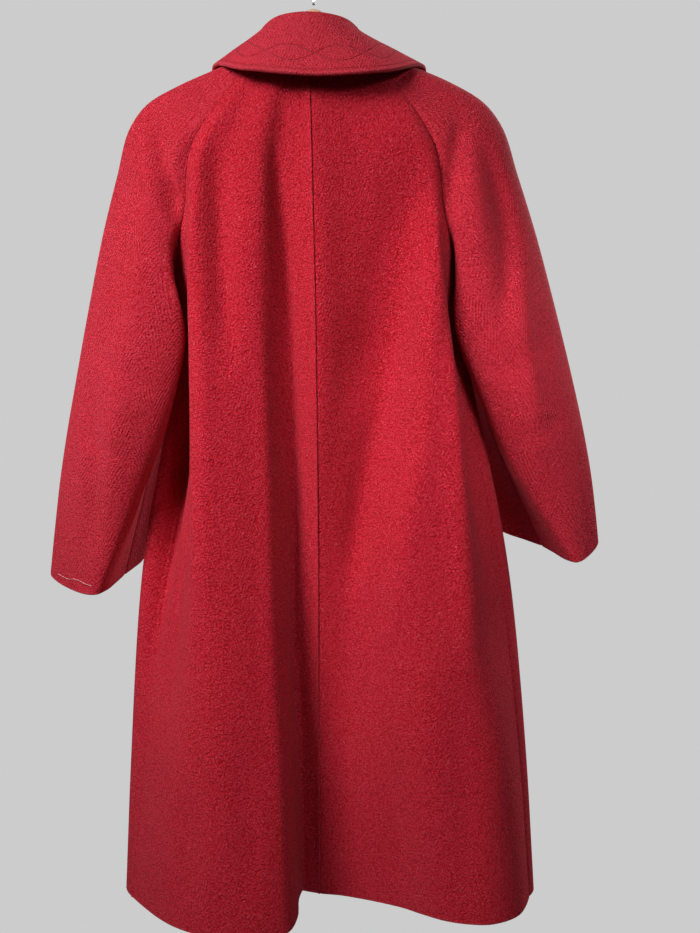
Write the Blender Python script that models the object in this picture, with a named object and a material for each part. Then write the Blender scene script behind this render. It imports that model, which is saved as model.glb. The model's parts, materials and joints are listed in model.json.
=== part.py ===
"""A red tweed swing coat with raglan sleeves, hanging on a plain wooden hanger.

Blender works in metres with +Z up. The tables here are in millimetres. The origin is where the hook
rests on its rail, +X is the wearer's right and +Y the wearer's front, so the back faces -Y.

Each cloth piece is a closed wall on a grid of middle points. Neighbouring pieces share the points
and the directions along their seams, and each keeps half of the seam gap, so that they never cross.
"""

import math
from collections import namedtuple

import bmesh
import bpy
import numpy as np

MM = 0.001

CLOTH = 3.0
COLLAR_CLOTH = 5.0
SEAM_GAP = 0.3

# Levels of the body, as depths below the origin, from the neck seam to the hem.
LEVELS = {
    "neck": 142,
    "yoke": 190,
    "chest": 250,
    "scye": 330,
    "armpit": 420,
    "waist": 520,
    "hip": 748,
    "thigh": 1000,
    "hem": 1211,
}
ROWS_ABOVE_ARMPIT = 10
ROWS_BELOW_ARMPIT = 11

# A panel has fold lines that run down the cloth: lines names them, spans counts the grid columns
# between neighbours, neck_z and hem_z give their ends, and places has a row for each level, with
# each line's x and y there.
Panel = namedtuple("Panel", "lines spans neck_z hem_z places")

BACK_LEFT = Panel(
    lines=("seam", "valley", "lip", "crest", "ridge", "tuck", "edge"),
    spans=(2, 3, 3, 2, 2, 2),
    neck_z=(-142, -141, -140, -138, -136, -134, -133),
    hem_z=(-1211, -1211, -1211, -1211, -1211, -1211, -1211),
    places={
        "neck": ((-3, -52), (-22, -50), (-34, -47), (-50, -41), (-60, -36), (-66, -32), (-70, -28)),
        "yoke": ((-2, -64), (-30, -58), (-48, -62), (-74, -55), (-88, -53), (-95, -50), (-100, -47)),
        "chest": ((0, -74), (-34, -63), (-58, -74), (-98, -67), (-124, -70), (-134, -62), (-141, -55)),
        "scye": ((2, -79), (-36, -64), (-62, -81), (-106, -74), (-138, -78), (-148, -62), (-154, -50)),
        "armpit": ((4, -80), (-36, -60), (-63, -80), (-114, -79), (-146, -74), (-150, -40), (-178, -2)),
        "waist": ((5, -76), (-36, -52), (-63, -77), (-120, -86), (-146, -77), (-140, -40), (-175, -6)),
        "hip": ((6, -52), (-27, -34), (-55, -74), (-115, -96), (-147, -85), (-158, -40), (-199, -10)),
        "thigh": ((5, -18), (-22, -4), (-40, -80), (-105, -104), (-155, -89), (-190, -50), (-221, -12)),
        "hem": ((5, -2), (-19, 6), (-30, -92), (-100, -112), (-172, -84), (-215, -44), (-243, -10)),
    },
)

BACK_RIGHT = Panel(
    lines=("seam", "trough", "slope", "crest", "ridge", "tuck", "edge"),
    spans=(2, 2, 2, 2, 2, 2),
    neck_z=(-142, -141, -140, -138, -136, -134, -133),
    hem_z=(-1211, -1211, -1211, -1211, -1211, -1211, -1211),
    places={
        "neck": ((-3, -52), (24, -50), (38, -46), (52, -41), (62, -36), (68, -32), (72, -28)),
        "yoke": ((-2, -64), (36, -60), (54, -58), (74, -56), (92, -53), (100, -50), (105, -47)),
        "chest": ((0, -74), (50, -67), (76, -68), (104, -71), (128, -68), (138, -62), (144, -55)),
        "scye": ((2, -79), (60, -68), (92, -72), (124, -79), (144, -74), (153, -62), (158, -50)),
        "armpit": ((4, -80), (62, -66), (98, -72), (134, -84), (156, -74), (160, -40), (184, -2)),
        "waist": ((5, -76), (60, -60), (100, -67), (140, -85), (170, -75), (166, -38), (190, -6)),
        "hip": ((6, -52), (48, -48), (85, -68), (130, -90), (192, -72), (208, -40), (232, -10)),
        "thigh": ((5, -18), (40, -28), (90, -58), (140, -82), (205, -76), (245, -44), (264, -12)),
        "hem": ((5, -2), (39, -8), (111, -36), (165, -68), (222, -77), (262, -54), (282, -10)),
    },
)

FRONT_LEFT = Panel(
    lines=("edge", "wrap", "ridge", "dip", "crest", "centre", "lap"),
    spans=(2, 2, 2, 2, 2, 1),
    neck_z=(-136, -144, -163, -183, -200, -205, -207),
    hem_z=(-1211, -1213, -1224, -1236, -1248, -1254, -1254),
    places={
        "neck": ((-70, 26), (-66, 32), (-56, 42), (-42, 54), (-22, 63), (-4, 66), (22, 57)),
        "yoke": ((-100, 42), (-94, 47), (-82, 54), (-60, 62), (-30, 67), (0, 68), (25, 61)),
        "chest": ((-139, 50), (-130, 56), (-112, 62), (-84, 66), (-42, 70), (0, 70), (26, 65)),
        "scye": ((-150, 46), (-142, 56), (-124, 64), (-94, 68), (-48, 72), (0, 71), (26, 68)),
        "armpit": ((-178, -2), (-170, 20), (-146, 44), (-108, 60), (-56, 70), (0, 71), (26, 68)),
        "waist": ((-175, -6), (-181, 14), (-156, 42), (-116, 56), (-62, 70), (0, 71), (26, 68)),
        "hip": ((-199, -10), (-222, 10), (-170, 48), (-124, 55), (-68, 74), (0, 72), (26, 69)),
        "thigh": ((-221, -12), (-244, 12), (-190, 58), (-134, 58), (-72, 82), (0, 75), (26, 72)),
        "hem": ((-243, -10), (-256, 18), (-204, 68), (-142, 60), (-76, 90), (0, 78), (26, 75)),
    },
)

FRONT_RIGHT = Panel(
    lines=("edge", "wrap", "ridge", "dip", "crest", "centre", "lap"),
    spans=(2, 2, 2, 2, 2, 1),
    neck_z=(-136, -144, -163, -183, -200, -205, -207),
    hem_z=(-1211, -1213, -1224, -1236, -1248, -1254, -1254),
    places={
        "neck": ((72, 26), (68, 32), (58, 42), (44, 55), (24, 67), (4, 71), (-26, 70)),
        "yoke": ((105, 42), (98, 47), (84, 54), (62, 63), (30, 70), (0, 73), (-26, 73)),
        "chest": ((142, 50), (132, 56), (114, 62), (86, 67), (42, 74), (0, 76), (-26, 77)),
        "scye": ((154, 46), (146, 56), (126, 64), (96, 69), (48, 76), (0, 77), (-26, 78)),
        "armpit": ((184, -2), (176, 20), (150, 44), (110, 61), (56, 75), (0, 77), (-26, 78)),
        "waist": ((190, -6), (198, 14), (166, 42), (120, 57), (62, 75), (0, 77), (-26, 79)),
        "hip": ((232, -10), (247, 10), (190, 48), (130, 56), (68, 79), (0, 78), (-26, 82)),
        "thigh": ((264, -12), (276, 12), (214, 58), (142, 60), (74, 87), (0, 82), (-26, 87)),
        "hem": ((282, -10), (292, 18), (232, 68), (152, 62), (78, 95), (0, 86), (-26, 93)),
    },
)

# Sleeve sections from the shoulder to the cuff, each with the places of six lines round the arm.
Section = namedtuple("Section", "under crease back outer front fore")
SLEEVE_SPANS = (3, 4, 5, 5, 4, 3)
SLEEVE_HALF = 12
CAP_ROWS = 4
ROWS_A_SECTION = 2

SLEEVE_LEFT = (
    Section((-188, 3, -450), (-168, -50, -412), (-192, -63, -308),
            (-227, 0, -214), (-192, 58, -308), (-182, 38, -412)),
    Section((-195, 10, -500), (-157, -52, -476), (-212, -64, -405),
            (-264, 2, -342), (-220, 68, -405), (-184, 48, -476)),
    Section((-206, 18, -590), (-180, -46, -566), (-231, -58, -545),
            (-306, 10, -529), (-250, 80, -545), (-193, 62, -575)),
    Section((-224, 28, -665), (-216, -34, -652), (-276, -32, -660),
            (-333, 25, -653), (-277, 92, -640), (-204, 76, -655)),
    Section((-257, 38, -788), (-281, -10, -804), (-316, 5, -802),
            (-356, 45, -785), (-305, 112, -762), (-241, 84, -771)),
)
SLEEVE_RIGHT = (
    Section((194, 3, -450), (174, -50, -408), (198, -63, -308),
            (232, 0, -212), (198, 58, -308), (188, 38, -412)),
    Section((204, 10, -500), (176, -52, -468), (224, -64, -405),
            (277, 2, -342), (232, 68, -405), (194, 48, -476)),
    Section((228, 22, -585), (217, -40, -562), (268, -56, -545),
            (330, 10, -529), (275, 82, -545), (211, 64, -570)),
    Section((256, 36, -650), (259, -20, -648), (312, -24, -652),
            (360, 26, -650), (308, 100, -632), (227, 88, -640)),
    Section((305, 58, -752), (338, 5, -765), (357, 18, -760),
            (376, 45, -742), (322, 128, -722), (253, 107, -735)),
)
NECK_SIDE = {"left": (-76, 0, -127), "right": (77, 0, -127)}

# How a sleeve leaves the raglan seam: over the shoulder, and with room and slack at the armpit.
SHOULDER_RUN = {"left": (-155, 0, -84), "right": (166, 0, -60)}
SHOULDER_PULL = 120
ARMPIT_ROOM = {"left": -50, "right": 50}
ARMPIT_COLUMNS = 9
ARMPIT_SLACK = 0.6
ARMPIT_CLEAR = 5.0

# Collar: its roll and outer edge at nine stations, from the left throat round to the right one.
Station = namedtuple("Station", "name roll edge")
COLLAR = (
    Station("throat_left", (-6, 80, -182), (-64, 82, -270)),
    Station("bone_left", (-52, 44, -124), (-112, 68, -204)),
    Station("shoulder_left", (-62, 2, -103), (-126, 4, -143)),
    Station("nape_left", (-42, -24, -92), (-78, -74, -168)),
    Station("seam", (-6, -37, -91), (2, -90, -179)),
    Station("nape_right", (36, -26, -94), (86, -74, -170)),
    Station("shoulder_right", (54, 2, -102), (139, 4, -143)),
    Station("bone_right", (50, 44, -124), (116, 68, -204)),
    Station("throat_right", (6, 84, -182), (64, 86, -270)),
)
COLLAR_SPANS = (2, 2, 2, 2, 2)
ROLL_HALF_WIDTH = 7.5
FALL_BULGE = 1
NECK_CENTRE = (0, 15)

BUTTON_HEIGHTS = (-290, -430, -570, -710)
BUTTON_SIDES = 20
BUTTON_RADIUS = 14
BUTTON_THICKNESS = 4
# Outline of a button from its back to its dished face, as shares of the radius and the thickness.
BUTTON_OUTLINE = ((0.85, 0), (1, 0.4), (0.94, 1), (0.72, 1), (0.62, 0.75))
SHANK_RADIUS = 4
SHANK_HEIGHT = 2
SHANK_REST = 0.6

# Hanger: the middle of its bar, as x and the height of the top.
HANGER_MIDDLE = ((76, -140), (50, -128), (34, -104), (18, -80), (0, -68))
HANGER_REST = 0.9
HANGER_ROWS = 3
BAR_HALF_WIDTH = 6
BAR_DEPTH_MIDDLE = 27
BAR_DEPTH_TIP = 17
BAR_SIDES = 12

WIRE_RADIUS = 1.9
HOOK_RADIUS = 21
HOOK_TIP_ANGLE = 205
HOOK_END_ANGLE = -55
HOOK_POINTS = 22
BEND_POINTS = 5
STEM_TOP = -52
STEM_RUN = (0.0, -14.0)

MATERIALS = {
    "tweed": ((0.50, 0.025, 0.045, 1.0), 0.95, 0.0),
    "wood": ((0.72, 0.49, 0.34, 1.0), 0.55, 0.0),
    "steel": ((0.62, 0.62, 0.63, 1.0), 0.30, 1.0),
    "button": ((0.10, 0.012, 0.018, 1.0), 0.35, 0.0),
}


def through(knots, values, at):
    """Smooth curve through values at increasing knots, read at the numbers in at."""
    knots = np.asarray(knots, float)
    shape = np.shape(values)[1:]
    values = np.asarray(values, float).reshape(len(knots), -1)
    step = np.diff(knots)[:, None]
    slope = np.diff(values, axis=0) / step
    middle = (step[1:] * slope[:-1] + step[:-1] * slope[1:]) / (step[1:] + step[:-1])
    tangent = np.vstack([slope[:1], middle, slope[-1:]])
    at = np.asarray(at, float)
    i = np.clip(np.searchsorted(knots, at, side="right") - 1, 0, len(knots) - 2)
    run = step[i]
    t = (at - knots[i])[:, None] / run
    curve = hermite(values[i], run * tangent[i], values[i + 1], run * tangent[i + 1], t)
    return curve.reshape(len(at), *shape)


def hermite(start, start_run, end, end_run, t):
    """Cubic from start to end that leaves and arrives along the two runs."""
    return (
        (1 + 2 * t) * (1 - t) ** 2 * start
        + t * (1 - t) ** 2 * start_run
        + t * t * (3 - 2 * t) * end
        + t * t * (t - 1) * end_run
    )


def across(points, spans):
    """Curve through a row of points, cut into the given number of spans between neighbours."""
    points = np.asarray(points, float)
    chords = np.sqrt(np.linalg.norm(np.diff(points, axis=0), axis=1))
    knots = np.concatenate([[0.0], np.cumsum(chords)])
    stretches = [np.linspace(knots[i], knots[i + 1], n, endpoint=False) for i, n in enumerate(spans)]
    return through(knots, points, np.concatenate(stretches + [knots[-1:]]))


def unit(vectors):
    """Vectors at length one."""
    return vectors / np.linalg.norm(vectors, axis=-1, keepdims=True)


def body_grid(panel):
    """Middle points of a body panel: rows from the neck seam to the hem, columns across it."""
    armpit = LEVELS["armpit"]
    above = np.linspace(LEVELS["neck"], armpit, ROWS_ABOVE_ARMPIT + 1)
    below = np.linspace(armpit, LEVELS["hem"], ROWS_BELOW_ARMPIT + 1)
    depths = np.concatenate([above, below[1:]])
    places = through(list(LEVELS.values()), [panel.places[name] for name in LEVELS], depths)
    neck = (armpit + np.array(panel.neck_z)) / (armpit - LEVELS["neck"])
    hem = (-armpit - np.array(panel.hem_z)) / (LEVELS["hem"] - armpit)
    rows = []
    for depth, row in zip(depths, places):
        stretch = neck if depth < armpit else hem
        heights = -armpit + (armpit - depth) * stretch
        rows.append(across(np.column_stack([row, heights]), panel.spans))
    return np.array(rows)


def sleeve_ring(section):
    """Points round a sleeve section, from the under line by the back and the front to it again."""
    ends = 2
    lines = list(section)
    closed = lines[-ends:] + lines + lines[: ends + 1]
    spans = SLEEVE_SPANS[-ends:] + SLEEVE_SPANS + SLEEVE_SPANS[:ends]
    lead = sum(SLEEVE_SPANS[-ends:])
    return across(closed, spans)[lead : lead + sum(SLEEVE_SPANS) + 1]


def sleeve_grid(side, sections, back_edge, front_edge):
    """Middle points of a whole sleeve: rows from the raglan seam to the cuff, columns round it."""
    neck = across([back_edge[0], NECK_SIDE[side], front_edge[0]], (2, 2))
    seam = np.vstack([back_edge[::-1], neck[1:-1], front_edge])
    rings = np.array([sleeve_ring(section) for section in sections])
    column = np.arange(len(seam))
    top = np.clip(1 - np.abs(column - SLEEVE_HALF) / SLEEVE_SPANS[2], 0, 1)[:, None]
    pit = np.clip(1 - np.minimum(column, column[-1] - column) / ARMPIT_COLUMNS, 0, 1)[:, None]
    chord = rings[0] - seam
    length = np.linalg.norm(chord, axis=1, keepdims=True)
    leave = (1 - top) * (1 - ARMPIT_SLACK * pit) * chord + top * np.array(SHOULDER_RUN[side])
    leave[:, :1] += ARMPIT_ROOM[side] * pit
    arrive = ((1 - top) * length + top * SHOULDER_PULL) * unit(rings[1] - rings[0])
    cap = [hermite(seam, leave, rings[0], arrive, row / CAP_ROWS) for row in range(CAP_ROWS)]
    number = np.arange(len(rings))
    stops = np.linspace(0, number[-1], number[-1] * ROWS_A_SECTION + 1)
    return np.concatenate([cap, through(number, rings, stops)])


def collar_grid(neck, stations):
    """Middle points of the collar: rows from the neck seam over the roll to the edge."""
    walk = np.concatenate([[0.0], np.cumsum(np.linalg.norm(np.diff(neck, axis=0), axis=1))])
    roll = through(walk[stations], [station.roll for station in COLLAR], walk)
    edge = through(walk[stations], [station.edge for station in COLLAR], walk)
    columns = []
    for base, top, end in zip(neck, roll, edge):
        out = np.append(unit(top[:2] - NECK_CENTRE), 0.0)
        down = np.array((0.0, 0.0, -ROLL_HALF_WIDTH))
        stand_top = top - ROLL_HALF_WIDTH * out + down
        fall_top = top + ROLL_HALF_WIDTH * out + down
        lift = FALL_BULGE * unit(out + (0, 0, 1))
        fall_middle = (fall_top + end) / 2 + lift
        columns.append(across([base, stand_top, top, fall_top, fall_middle, end], COLLAR_SPANS))
    return np.array(columns).transpose(1, 0, 2)


def quad_normals(grid):
    """Area vector of each quad of a grid."""
    return np.cross(grid[1:, 1:] - grid[:-1, :-1], grid[1:, :-1] - grid[:-1, 1:]) / 2


def shared_normals(pieces):
    """Direction of the cloth at each point, summed over the pieces that share the point."""
    total = {}
    for grid, flip in pieces.values():
        areas = quad_normals(grid) * (-1 if flip else 1)
        own = np.zeros_like(grid)
        own[:-1, :-1] += areas
        own[:-1, 1:] += areas
        own[1:, 1:] += areas
        own[1:, :-1] += areas
        for point, normal in zip(grid.reshape(-1, 3), unit(own).reshape(-1, 3)):
            key = tuple(np.round(point, 3))
            total[key] = total.get(key, 0) + normal
    return total


def normals_of(grid, total):
    """Unit directions at the points of one grid."""
    found = [total[tuple(np.round(point, 3))] for point in grid.reshape(-1, 3)]
    return unit(np.array(found)).reshape(grid.shape)


def keep_seam_gap(grid, normals, sewn):
    """Grid with its sewn sides pulled in by half of the seam gap."""
    result = grid.copy()
    sides = {
        "top": (np.s_[0, :], np.s_[1, :]),
        "first": (np.s_[:, 0], np.s_[:, 1]),
        "last": (np.s_[:, -1], np.s_[:, -2]),
    }
    for name in sewn:
        border, inner = sides[name]
        inward = grid[inner] - grid[border]
        normal = normals[border]
        inward = inward - np.sum(inward * normal, axis=1, keepdims=True) * normal
        result[border] += unit(inward) * SEAM_GAP / 2
    return result


def add_object(name, mesh, material):
    """Put a mesh into the scene under its node name."""
    mesh.materials.append(bpy.data.materials[material])
    node = bpy.data.objects.new(name, mesh)
    bpy.context.collection.objects.link(node)
    return node


def mesh_from(name, points, faces):
    """Mesh from points in millimetres, with its faces turned outward."""
    mesh = bpy.data.meshes.new(name)
    mesh.from_pydata((np.asarray(points) * MM).tolist(), [], faces)
    body = bmesh.new()
    body.from_mesh(mesh)
    bmesh.ops.recalc_face_normals(body, faces=body.faces)
    body.to_mesh(mesh)
    body.free()
    return mesh


def add_wall(name, middle, normals, thickness, sewn):
    """Closed cloth wall on a grid of middle points, with a gap along its sewn sides."""
    grid = keep_seam_gap(middle, normals, sewn)
    rows, columns = grid.shape[:2]
    outer = (grid + normals * thickness / 2).reshape(-1, 3)
    inner = (grid - normals * thickness / 2).reshape(-1, 3)
    back = len(outer)
    faces = []
    for r in range(rows - 1):
        for c in range(columns - 1):
            a = r * columns + c
            quad = (a, a + 1, a + columns + 1, a + columns)
            faces.append(quad)
            faces.append(tuple(back + i for i in reversed(quad)))
    last_row = (rows - 1) * columns
    rim = list(range(columns))
    rim += [r * columns + columns - 1 for r in range(1, rows)]
    rim += [last_row + c for c in range(columns - 2, -1, -1)]
    rim += [r * columns for r in range(rows - 2, 0, -1)]
    seam = middle.reshape(-1, 3).round(3).tolist()
    for a, b in zip(rim, rim[1:] + rim[:1]):
        first, second = sorted((a, b), key=lambda i: seam[i])
        faces.append((first, second, back + second))
        faces.append((first, back + second, back + first))
    return add_object(name, mesh_from(name, np.vstack([outer, inner]), faces), "tweed")


def add_loft(name, rings, material):
    """Closed solid through rings that have the same number of points."""
    count = len(rings[0])
    faces = [tuple(range(count)), tuple(range((len(rings) - 1) * count, len(rings) * count))]
    for ring in range(len(rings) - 1):
        for side in range(count):
            a = ring * count + side
            b = ring * count + (side + 1) % count
            faces.append((a, b, b + count, a + count))
    return add_object(name, mesh_from(name, np.vstack(rings), faces), material)


def add_button(name, seat, out):
    """Plain round button on a thread shank, turned about the direction out of the cloth."""
    profile = [(SHANK_RADIUS, 0), (SHANK_RADIUS, SHANK_HEIGHT)]
    for width, height in BUTTON_OUTLINE:
        profile.append((width * BUTTON_RADIUS, SHANK_HEIGHT + height * BUTTON_THICKNESS))
    side = unit(np.cross((0.0, 0.0, 1.0), out))
    up = np.cross(out, side)
    turn = np.linspace(0, 2 * math.pi, BUTTON_SIDES, endpoint=False)
    circle = np.outer(np.cos(turn), side) + np.outer(np.sin(turn), up)
    rings = [seat + radius * circle + height * out for radius, height in profile]
    return add_loft(name, rings, "button")


def hanger_crest(grid, normals):
    """Places of the bar's top under one shoulder, from the neck to the tip."""
    rows = slice(1, HANGER_ROWS + 1)
    rest = CLOTH / 2 + HANGER_REST
    return (grid - rest * normals)[rows, SLEEVE_HALF]


def add_hanger_bar(left, right):
    """Plain wooden bar: rounded sections from the left tip over the middle to the right tip."""
    rise = [(-x, 0.0, z) for x, z in HANGER_MIDDLE]
    fall = [(x, 0.0, z) for x, z in HANGER_MIDDLE[-2::-1]]
    crest = np.vstack([left[::-1], rise, fall, right])
    reach = np.abs(crest[:, 0]) / np.abs(crest[:, 0]).max()
    depths = BAR_DEPTH_MIDDLE + (BAR_DEPTH_TIP - BAR_DEPTH_MIDDLE) * reach
    turn = np.linspace(0, 2 * math.pi, BAR_SIDES, endpoint=False)
    rings = []
    for top, depth in zip(crest, depths):
        across_bar = BAR_HALF_WIDTH * np.cos(turn)
        height = depth / 2 * (np.sin(turn) - 1)
        rings.append(top + np.column_stack([np.zeros_like(turn), across_bar, height]))
    return add_loft("hanger_bar", rings, "wood")


def add_hanger_hook():
    """Wire hook: a stem that bends into a round hook over the origin."""
    centre = WIRE_RADIUS - HOOK_RADIUS
    turn = np.radians(np.linspace(HOOK_TIP_ANGLE, HOOK_END_ANGLE, HOOK_POINTS))
    round_part = np.column_stack([HOOK_RADIUS * np.cos(turn), centre + HOOK_RADIUS * np.sin(turn)])
    leaving = HOOK_RADIUS * np.array((math.sin(turn[-1]), -math.cos(turn[-1])))
    stem_top = np.array((0.0, STEM_TOP))
    along = np.arange(1, BEND_POINTS + 1)[:, None] / BEND_POINTS
    bend = hermite(round_part[-1], leaving, stem_top, np.array(STEM_RUN), along)
    stem_end = (0.0, HANGER_MIDDLE[-1][1] + SEAM_GAP)
    path = np.vstack([round_part, bend, [stem_end]])
    curve = bpy.data.curves.new("hanger_hook", "CURVE")
    curve.dimensions = "3D"
    curve.bevel_depth = WIRE_RADIUS * MM
    curve.bevel_resolution = 2
    curve.use_fill_caps = True
    spline = curve.splines.new("POLY")
    spline.points.add(len(path) - 1)
    for point, (x, z) in zip(spline.points, path):
        point.co = (x * MM, 0.0, z * MM, 1.0)
    curve.materials.append(bpy.data.materials["steel"])
    node = bpy.data.objects.new("hanger_hook", curve)
    bpy.context.collection.objects.link(node)
    return node


def add_materials():
    """Plain materials of the nodes."""
    for name, (colour, roughness, metallic) in MATERIALS.items():
        material = bpy.data.materials.new(name)
        material.use_nodes = True
        shader = material.node_tree.nodes["Principled BSDF"]
        shader.inputs["Base Color"].default_value = colour
        shader.inputs["Roughness"].default_value = roughness
        shader.inputs["Metallic"].default_value = metallic


def line_column(panel, line):
    """Grid column of a panel's fold line."""
    return sum(panel.spans[: panel.lines.index(line)])


def neck_loop(grids, sleeves):
    """Points of the neck seam from the left throat round the back, and the collar stations' places."""
    centre = line_column(FRONT_LEFT, "centre")
    front_left = grids["front_left"][0, centre::-1]
    front_right = grids["front_right"][0, : centre + 1]
    side = slice(ROWS_ABOVE_ARMPIT, 2 * SLEEVE_HALF - ROWS_ABOVE_ARMPIT + 1)
    left = sleeves["left"][0, side][::-1]
    right = sleeves["right"][0, side]
    back_left = grids["back_left"][0, ::-1]
    back_right = grids["back_right"][0]
    loop = [front_left, left[1:], back_left[1:], back_right[1:], right[1:], front_right[1:]]
    ends = np.cumsum([len(stretch) for stretch in loop]) - 1
    bone = centre - line_column(FRONT_LEFT, "ridge")
    shoulder = SLEEVE_HALF - ROWS_ABOVE_ARMPIT
    nape_left = ends[2] - line_column(BACK_LEFT, "crest")
    nape_right = ends[2] + line_column(BACK_RIGHT, "crest")
    last = ends[-1]
    stations = [0, bone, ends[0] + shoulder, nape_left, ends[2], nape_right]
    stations += [ends[3] + shoulder, last - bone, last]
    return np.vstack(loop), stations


def place_on_line(grid, normals, column, height):
    """Point and direction of the cloth on a column, at a height."""
    depths = -grid[:, column, 2]
    point = through(depths, grid[:, column], [-height])[0]
    normal = through(depths, normals[:, column], [-height])[0]
    return point, unit(normal)


def build():
    """Make every node of the coat and its hanger."""
    for node in list(bpy.data.objects):
        bpy.data.objects.remove(node, do_unlink=True)
    add_materials()

    grids = {
        "back_left": body_grid(BACK_LEFT),
        "back_right": body_grid(BACK_RIGHT),
        "front_left": body_grid(FRONT_LEFT),
        "front_right": body_grid(FRONT_RIGHT),
    }
    raglan = slice(0, ROWS_ABOVE_ARMPIT + 1)
    side_seam = slice(ROWS_ABOVE_ARMPIT, None)
    sleeves = {}
    for side, sections in (("left", SLEEVE_LEFT), ("right", SLEEVE_RIGHT)):
        grids["front_" + side][side_seam, 0] = grids["back_" + side][side_seam, -1]
        back_edge = grids["back_" + side][raglan, -1]
        front_edge = grids["front_" + side][raglan, 0]
        sleeves[side] = sleeve_grid(side, sections, back_edge, front_edge)
        grids[f"sleeve_{side}_back"] = sleeves[side][:, : SLEEVE_HALF + 1].copy()
        grids[f"sleeve_{side}_front"] = sleeves[side][:, SLEEVE_HALF:].copy()
    neck, stations = neck_loop(grids, sleeves)
    grids["collar"] = collar_grid(neck, stations)

    pieces = {name: (grid, "right" in name) for name, grid in grids.items()}
    total = shared_normals(pieces)
    normals = {name: normals_of(grid, total) for name, grid in grids.items()}
    for name, grid in grids.items():
        sewn = ("top", "first", "last")
        if name == "collar":
            sewn = ("top",)
        elif name.startswith("front"):
            sewn = ("top", "first")
        if name.startswith("sleeve"):
            corner = 0 if name.endswith("back") else -1
            grid[0, corner] += ARMPIT_CLEAR * unit(grid[1, corner] - grid[0, corner])
            normals[name][0, corner] = normals[name][1, corner]
        thickness = COLLAR_CLOTH if name == "collar" else CLOTH
        add_wall(name, grid, normals[name], thickness, sewn)

    column = line_column(FRONT_RIGHT, "centre")
    for number, height in enumerate(BUTTON_HEIGHTS, start=1):
        point, out = place_on_line(grids["front_right"], normals["front_right"], column, height)
        add_button(f"button_{number}", point + (CLOTH / 2 + SHANK_REST) * out, out)

    crests = []
    for side in ("left", "right"):
        name = f"sleeve_{side}_back"
        crests.append(hanger_crest(grids[name], normals[name]))
    add_hanger_bar(*crests)
    add_hanger_hook()


build()
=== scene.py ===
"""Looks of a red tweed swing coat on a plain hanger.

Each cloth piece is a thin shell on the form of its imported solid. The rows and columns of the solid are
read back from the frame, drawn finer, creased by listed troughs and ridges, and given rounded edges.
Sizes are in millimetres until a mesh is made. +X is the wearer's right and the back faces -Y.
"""

from __future__ import annotations

import json
import logging
import math
from dataclasses import dataclass
from dataclasses import field
from enum import Enum
from typing import Iterable

import bmesh
import bpy
import numpy as np
from mathutils import Matrix
from mathutils import Vector

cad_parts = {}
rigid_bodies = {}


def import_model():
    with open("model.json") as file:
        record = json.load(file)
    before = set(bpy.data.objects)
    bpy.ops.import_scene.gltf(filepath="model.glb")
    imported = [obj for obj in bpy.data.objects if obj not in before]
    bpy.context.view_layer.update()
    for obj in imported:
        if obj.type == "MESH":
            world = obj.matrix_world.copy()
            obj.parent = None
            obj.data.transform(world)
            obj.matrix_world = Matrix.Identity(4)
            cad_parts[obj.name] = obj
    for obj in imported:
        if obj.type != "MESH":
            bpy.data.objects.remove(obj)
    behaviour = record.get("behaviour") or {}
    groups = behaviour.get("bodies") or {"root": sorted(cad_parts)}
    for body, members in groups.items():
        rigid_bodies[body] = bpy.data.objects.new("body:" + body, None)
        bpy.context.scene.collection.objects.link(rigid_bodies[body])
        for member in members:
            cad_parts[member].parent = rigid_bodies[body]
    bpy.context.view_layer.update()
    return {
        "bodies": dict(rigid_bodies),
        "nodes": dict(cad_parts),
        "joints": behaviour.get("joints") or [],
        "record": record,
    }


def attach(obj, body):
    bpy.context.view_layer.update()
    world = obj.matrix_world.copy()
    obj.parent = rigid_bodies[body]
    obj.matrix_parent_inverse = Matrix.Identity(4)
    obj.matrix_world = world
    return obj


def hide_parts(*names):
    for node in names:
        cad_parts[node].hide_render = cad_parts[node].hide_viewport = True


LOG = logging.getLogger("tweed_coat")
MM = 0.001
BODY = "root"
GRAIN_SMOOTHNESS = 0.4
Span = tuple[float, float]
Place = tuple[float, float, float]


# Shader maths


class Value:
    """A number in a shader: operators on it add Math nodes."""

    def __init__(self, graph: Graph, socket: bpy.types.NodeSocket) -> None:
        """Wrap an output socket of a graph."""
        self.graph = graph
        self.socket = socket

    def math(self, operation: str, *others: Value | float) -> Value:
        """Apply a Math node.

        Args:
            operation: The node's operation.
            others: The values after this one.

        Returns:
            The node's result.
        """
        return self.graph.math(operation, self, *others)

    def __add__(self, other: Value | float) -> Value:
        """Sum."""
        return self.math("ADD", other)

    def __radd__(self, other: float) -> Value:
        """Sum with a plain number."""
        return self.graph.math("ADD", other, self)

    def __sub__(self, other: Value | float) -> Value:
        """Difference."""
        return self.math("SUBTRACT", other)

    def __rsub__(self, other: float) -> Value:
        """Difference from a plain number."""
        return self.graph.math("SUBTRACT", other, self)

    def __mul__(self, other: Value | float) -> Value:
        """Product."""
        return self.math("MULTIPLY", other)

    def __rmul__(self, other: float) -> Value:
        """Product with a plain number."""
        return self.graph.math("MULTIPLY", other, self)

    def __abs__(self) -> Value:
        """Size without its sign."""
        return self.math("ABSOLUTE")

    def sine(self) -> Value:
        """Sine of an angle in radians."""
        return self.math("SINE")

    def zigzag(self, width: float) -> Value:
        """Triangle wave between nothing and a width."""
        return self.math("PINGPONG", width)

    def smooth(self, low: float, high: float) -> Value:
        """Step smoothly from 0 to 1.

        Args:
            low: Where it starts to rise.
            high: Where it reaches 1.

        Returns:
            The step.
        """
        settings = {"interpolation_type": "SMOOTHSTEP"}
        sockets = {"Value": self, "From Min": low, "From Max": high}
        node = self.graph.node("ShaderNodeMapRange", settings, sockets)
        return Value(self.graph, node.outputs["Result"])


Source = Value | bpy.types.NodeSocket | float | tuple


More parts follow.
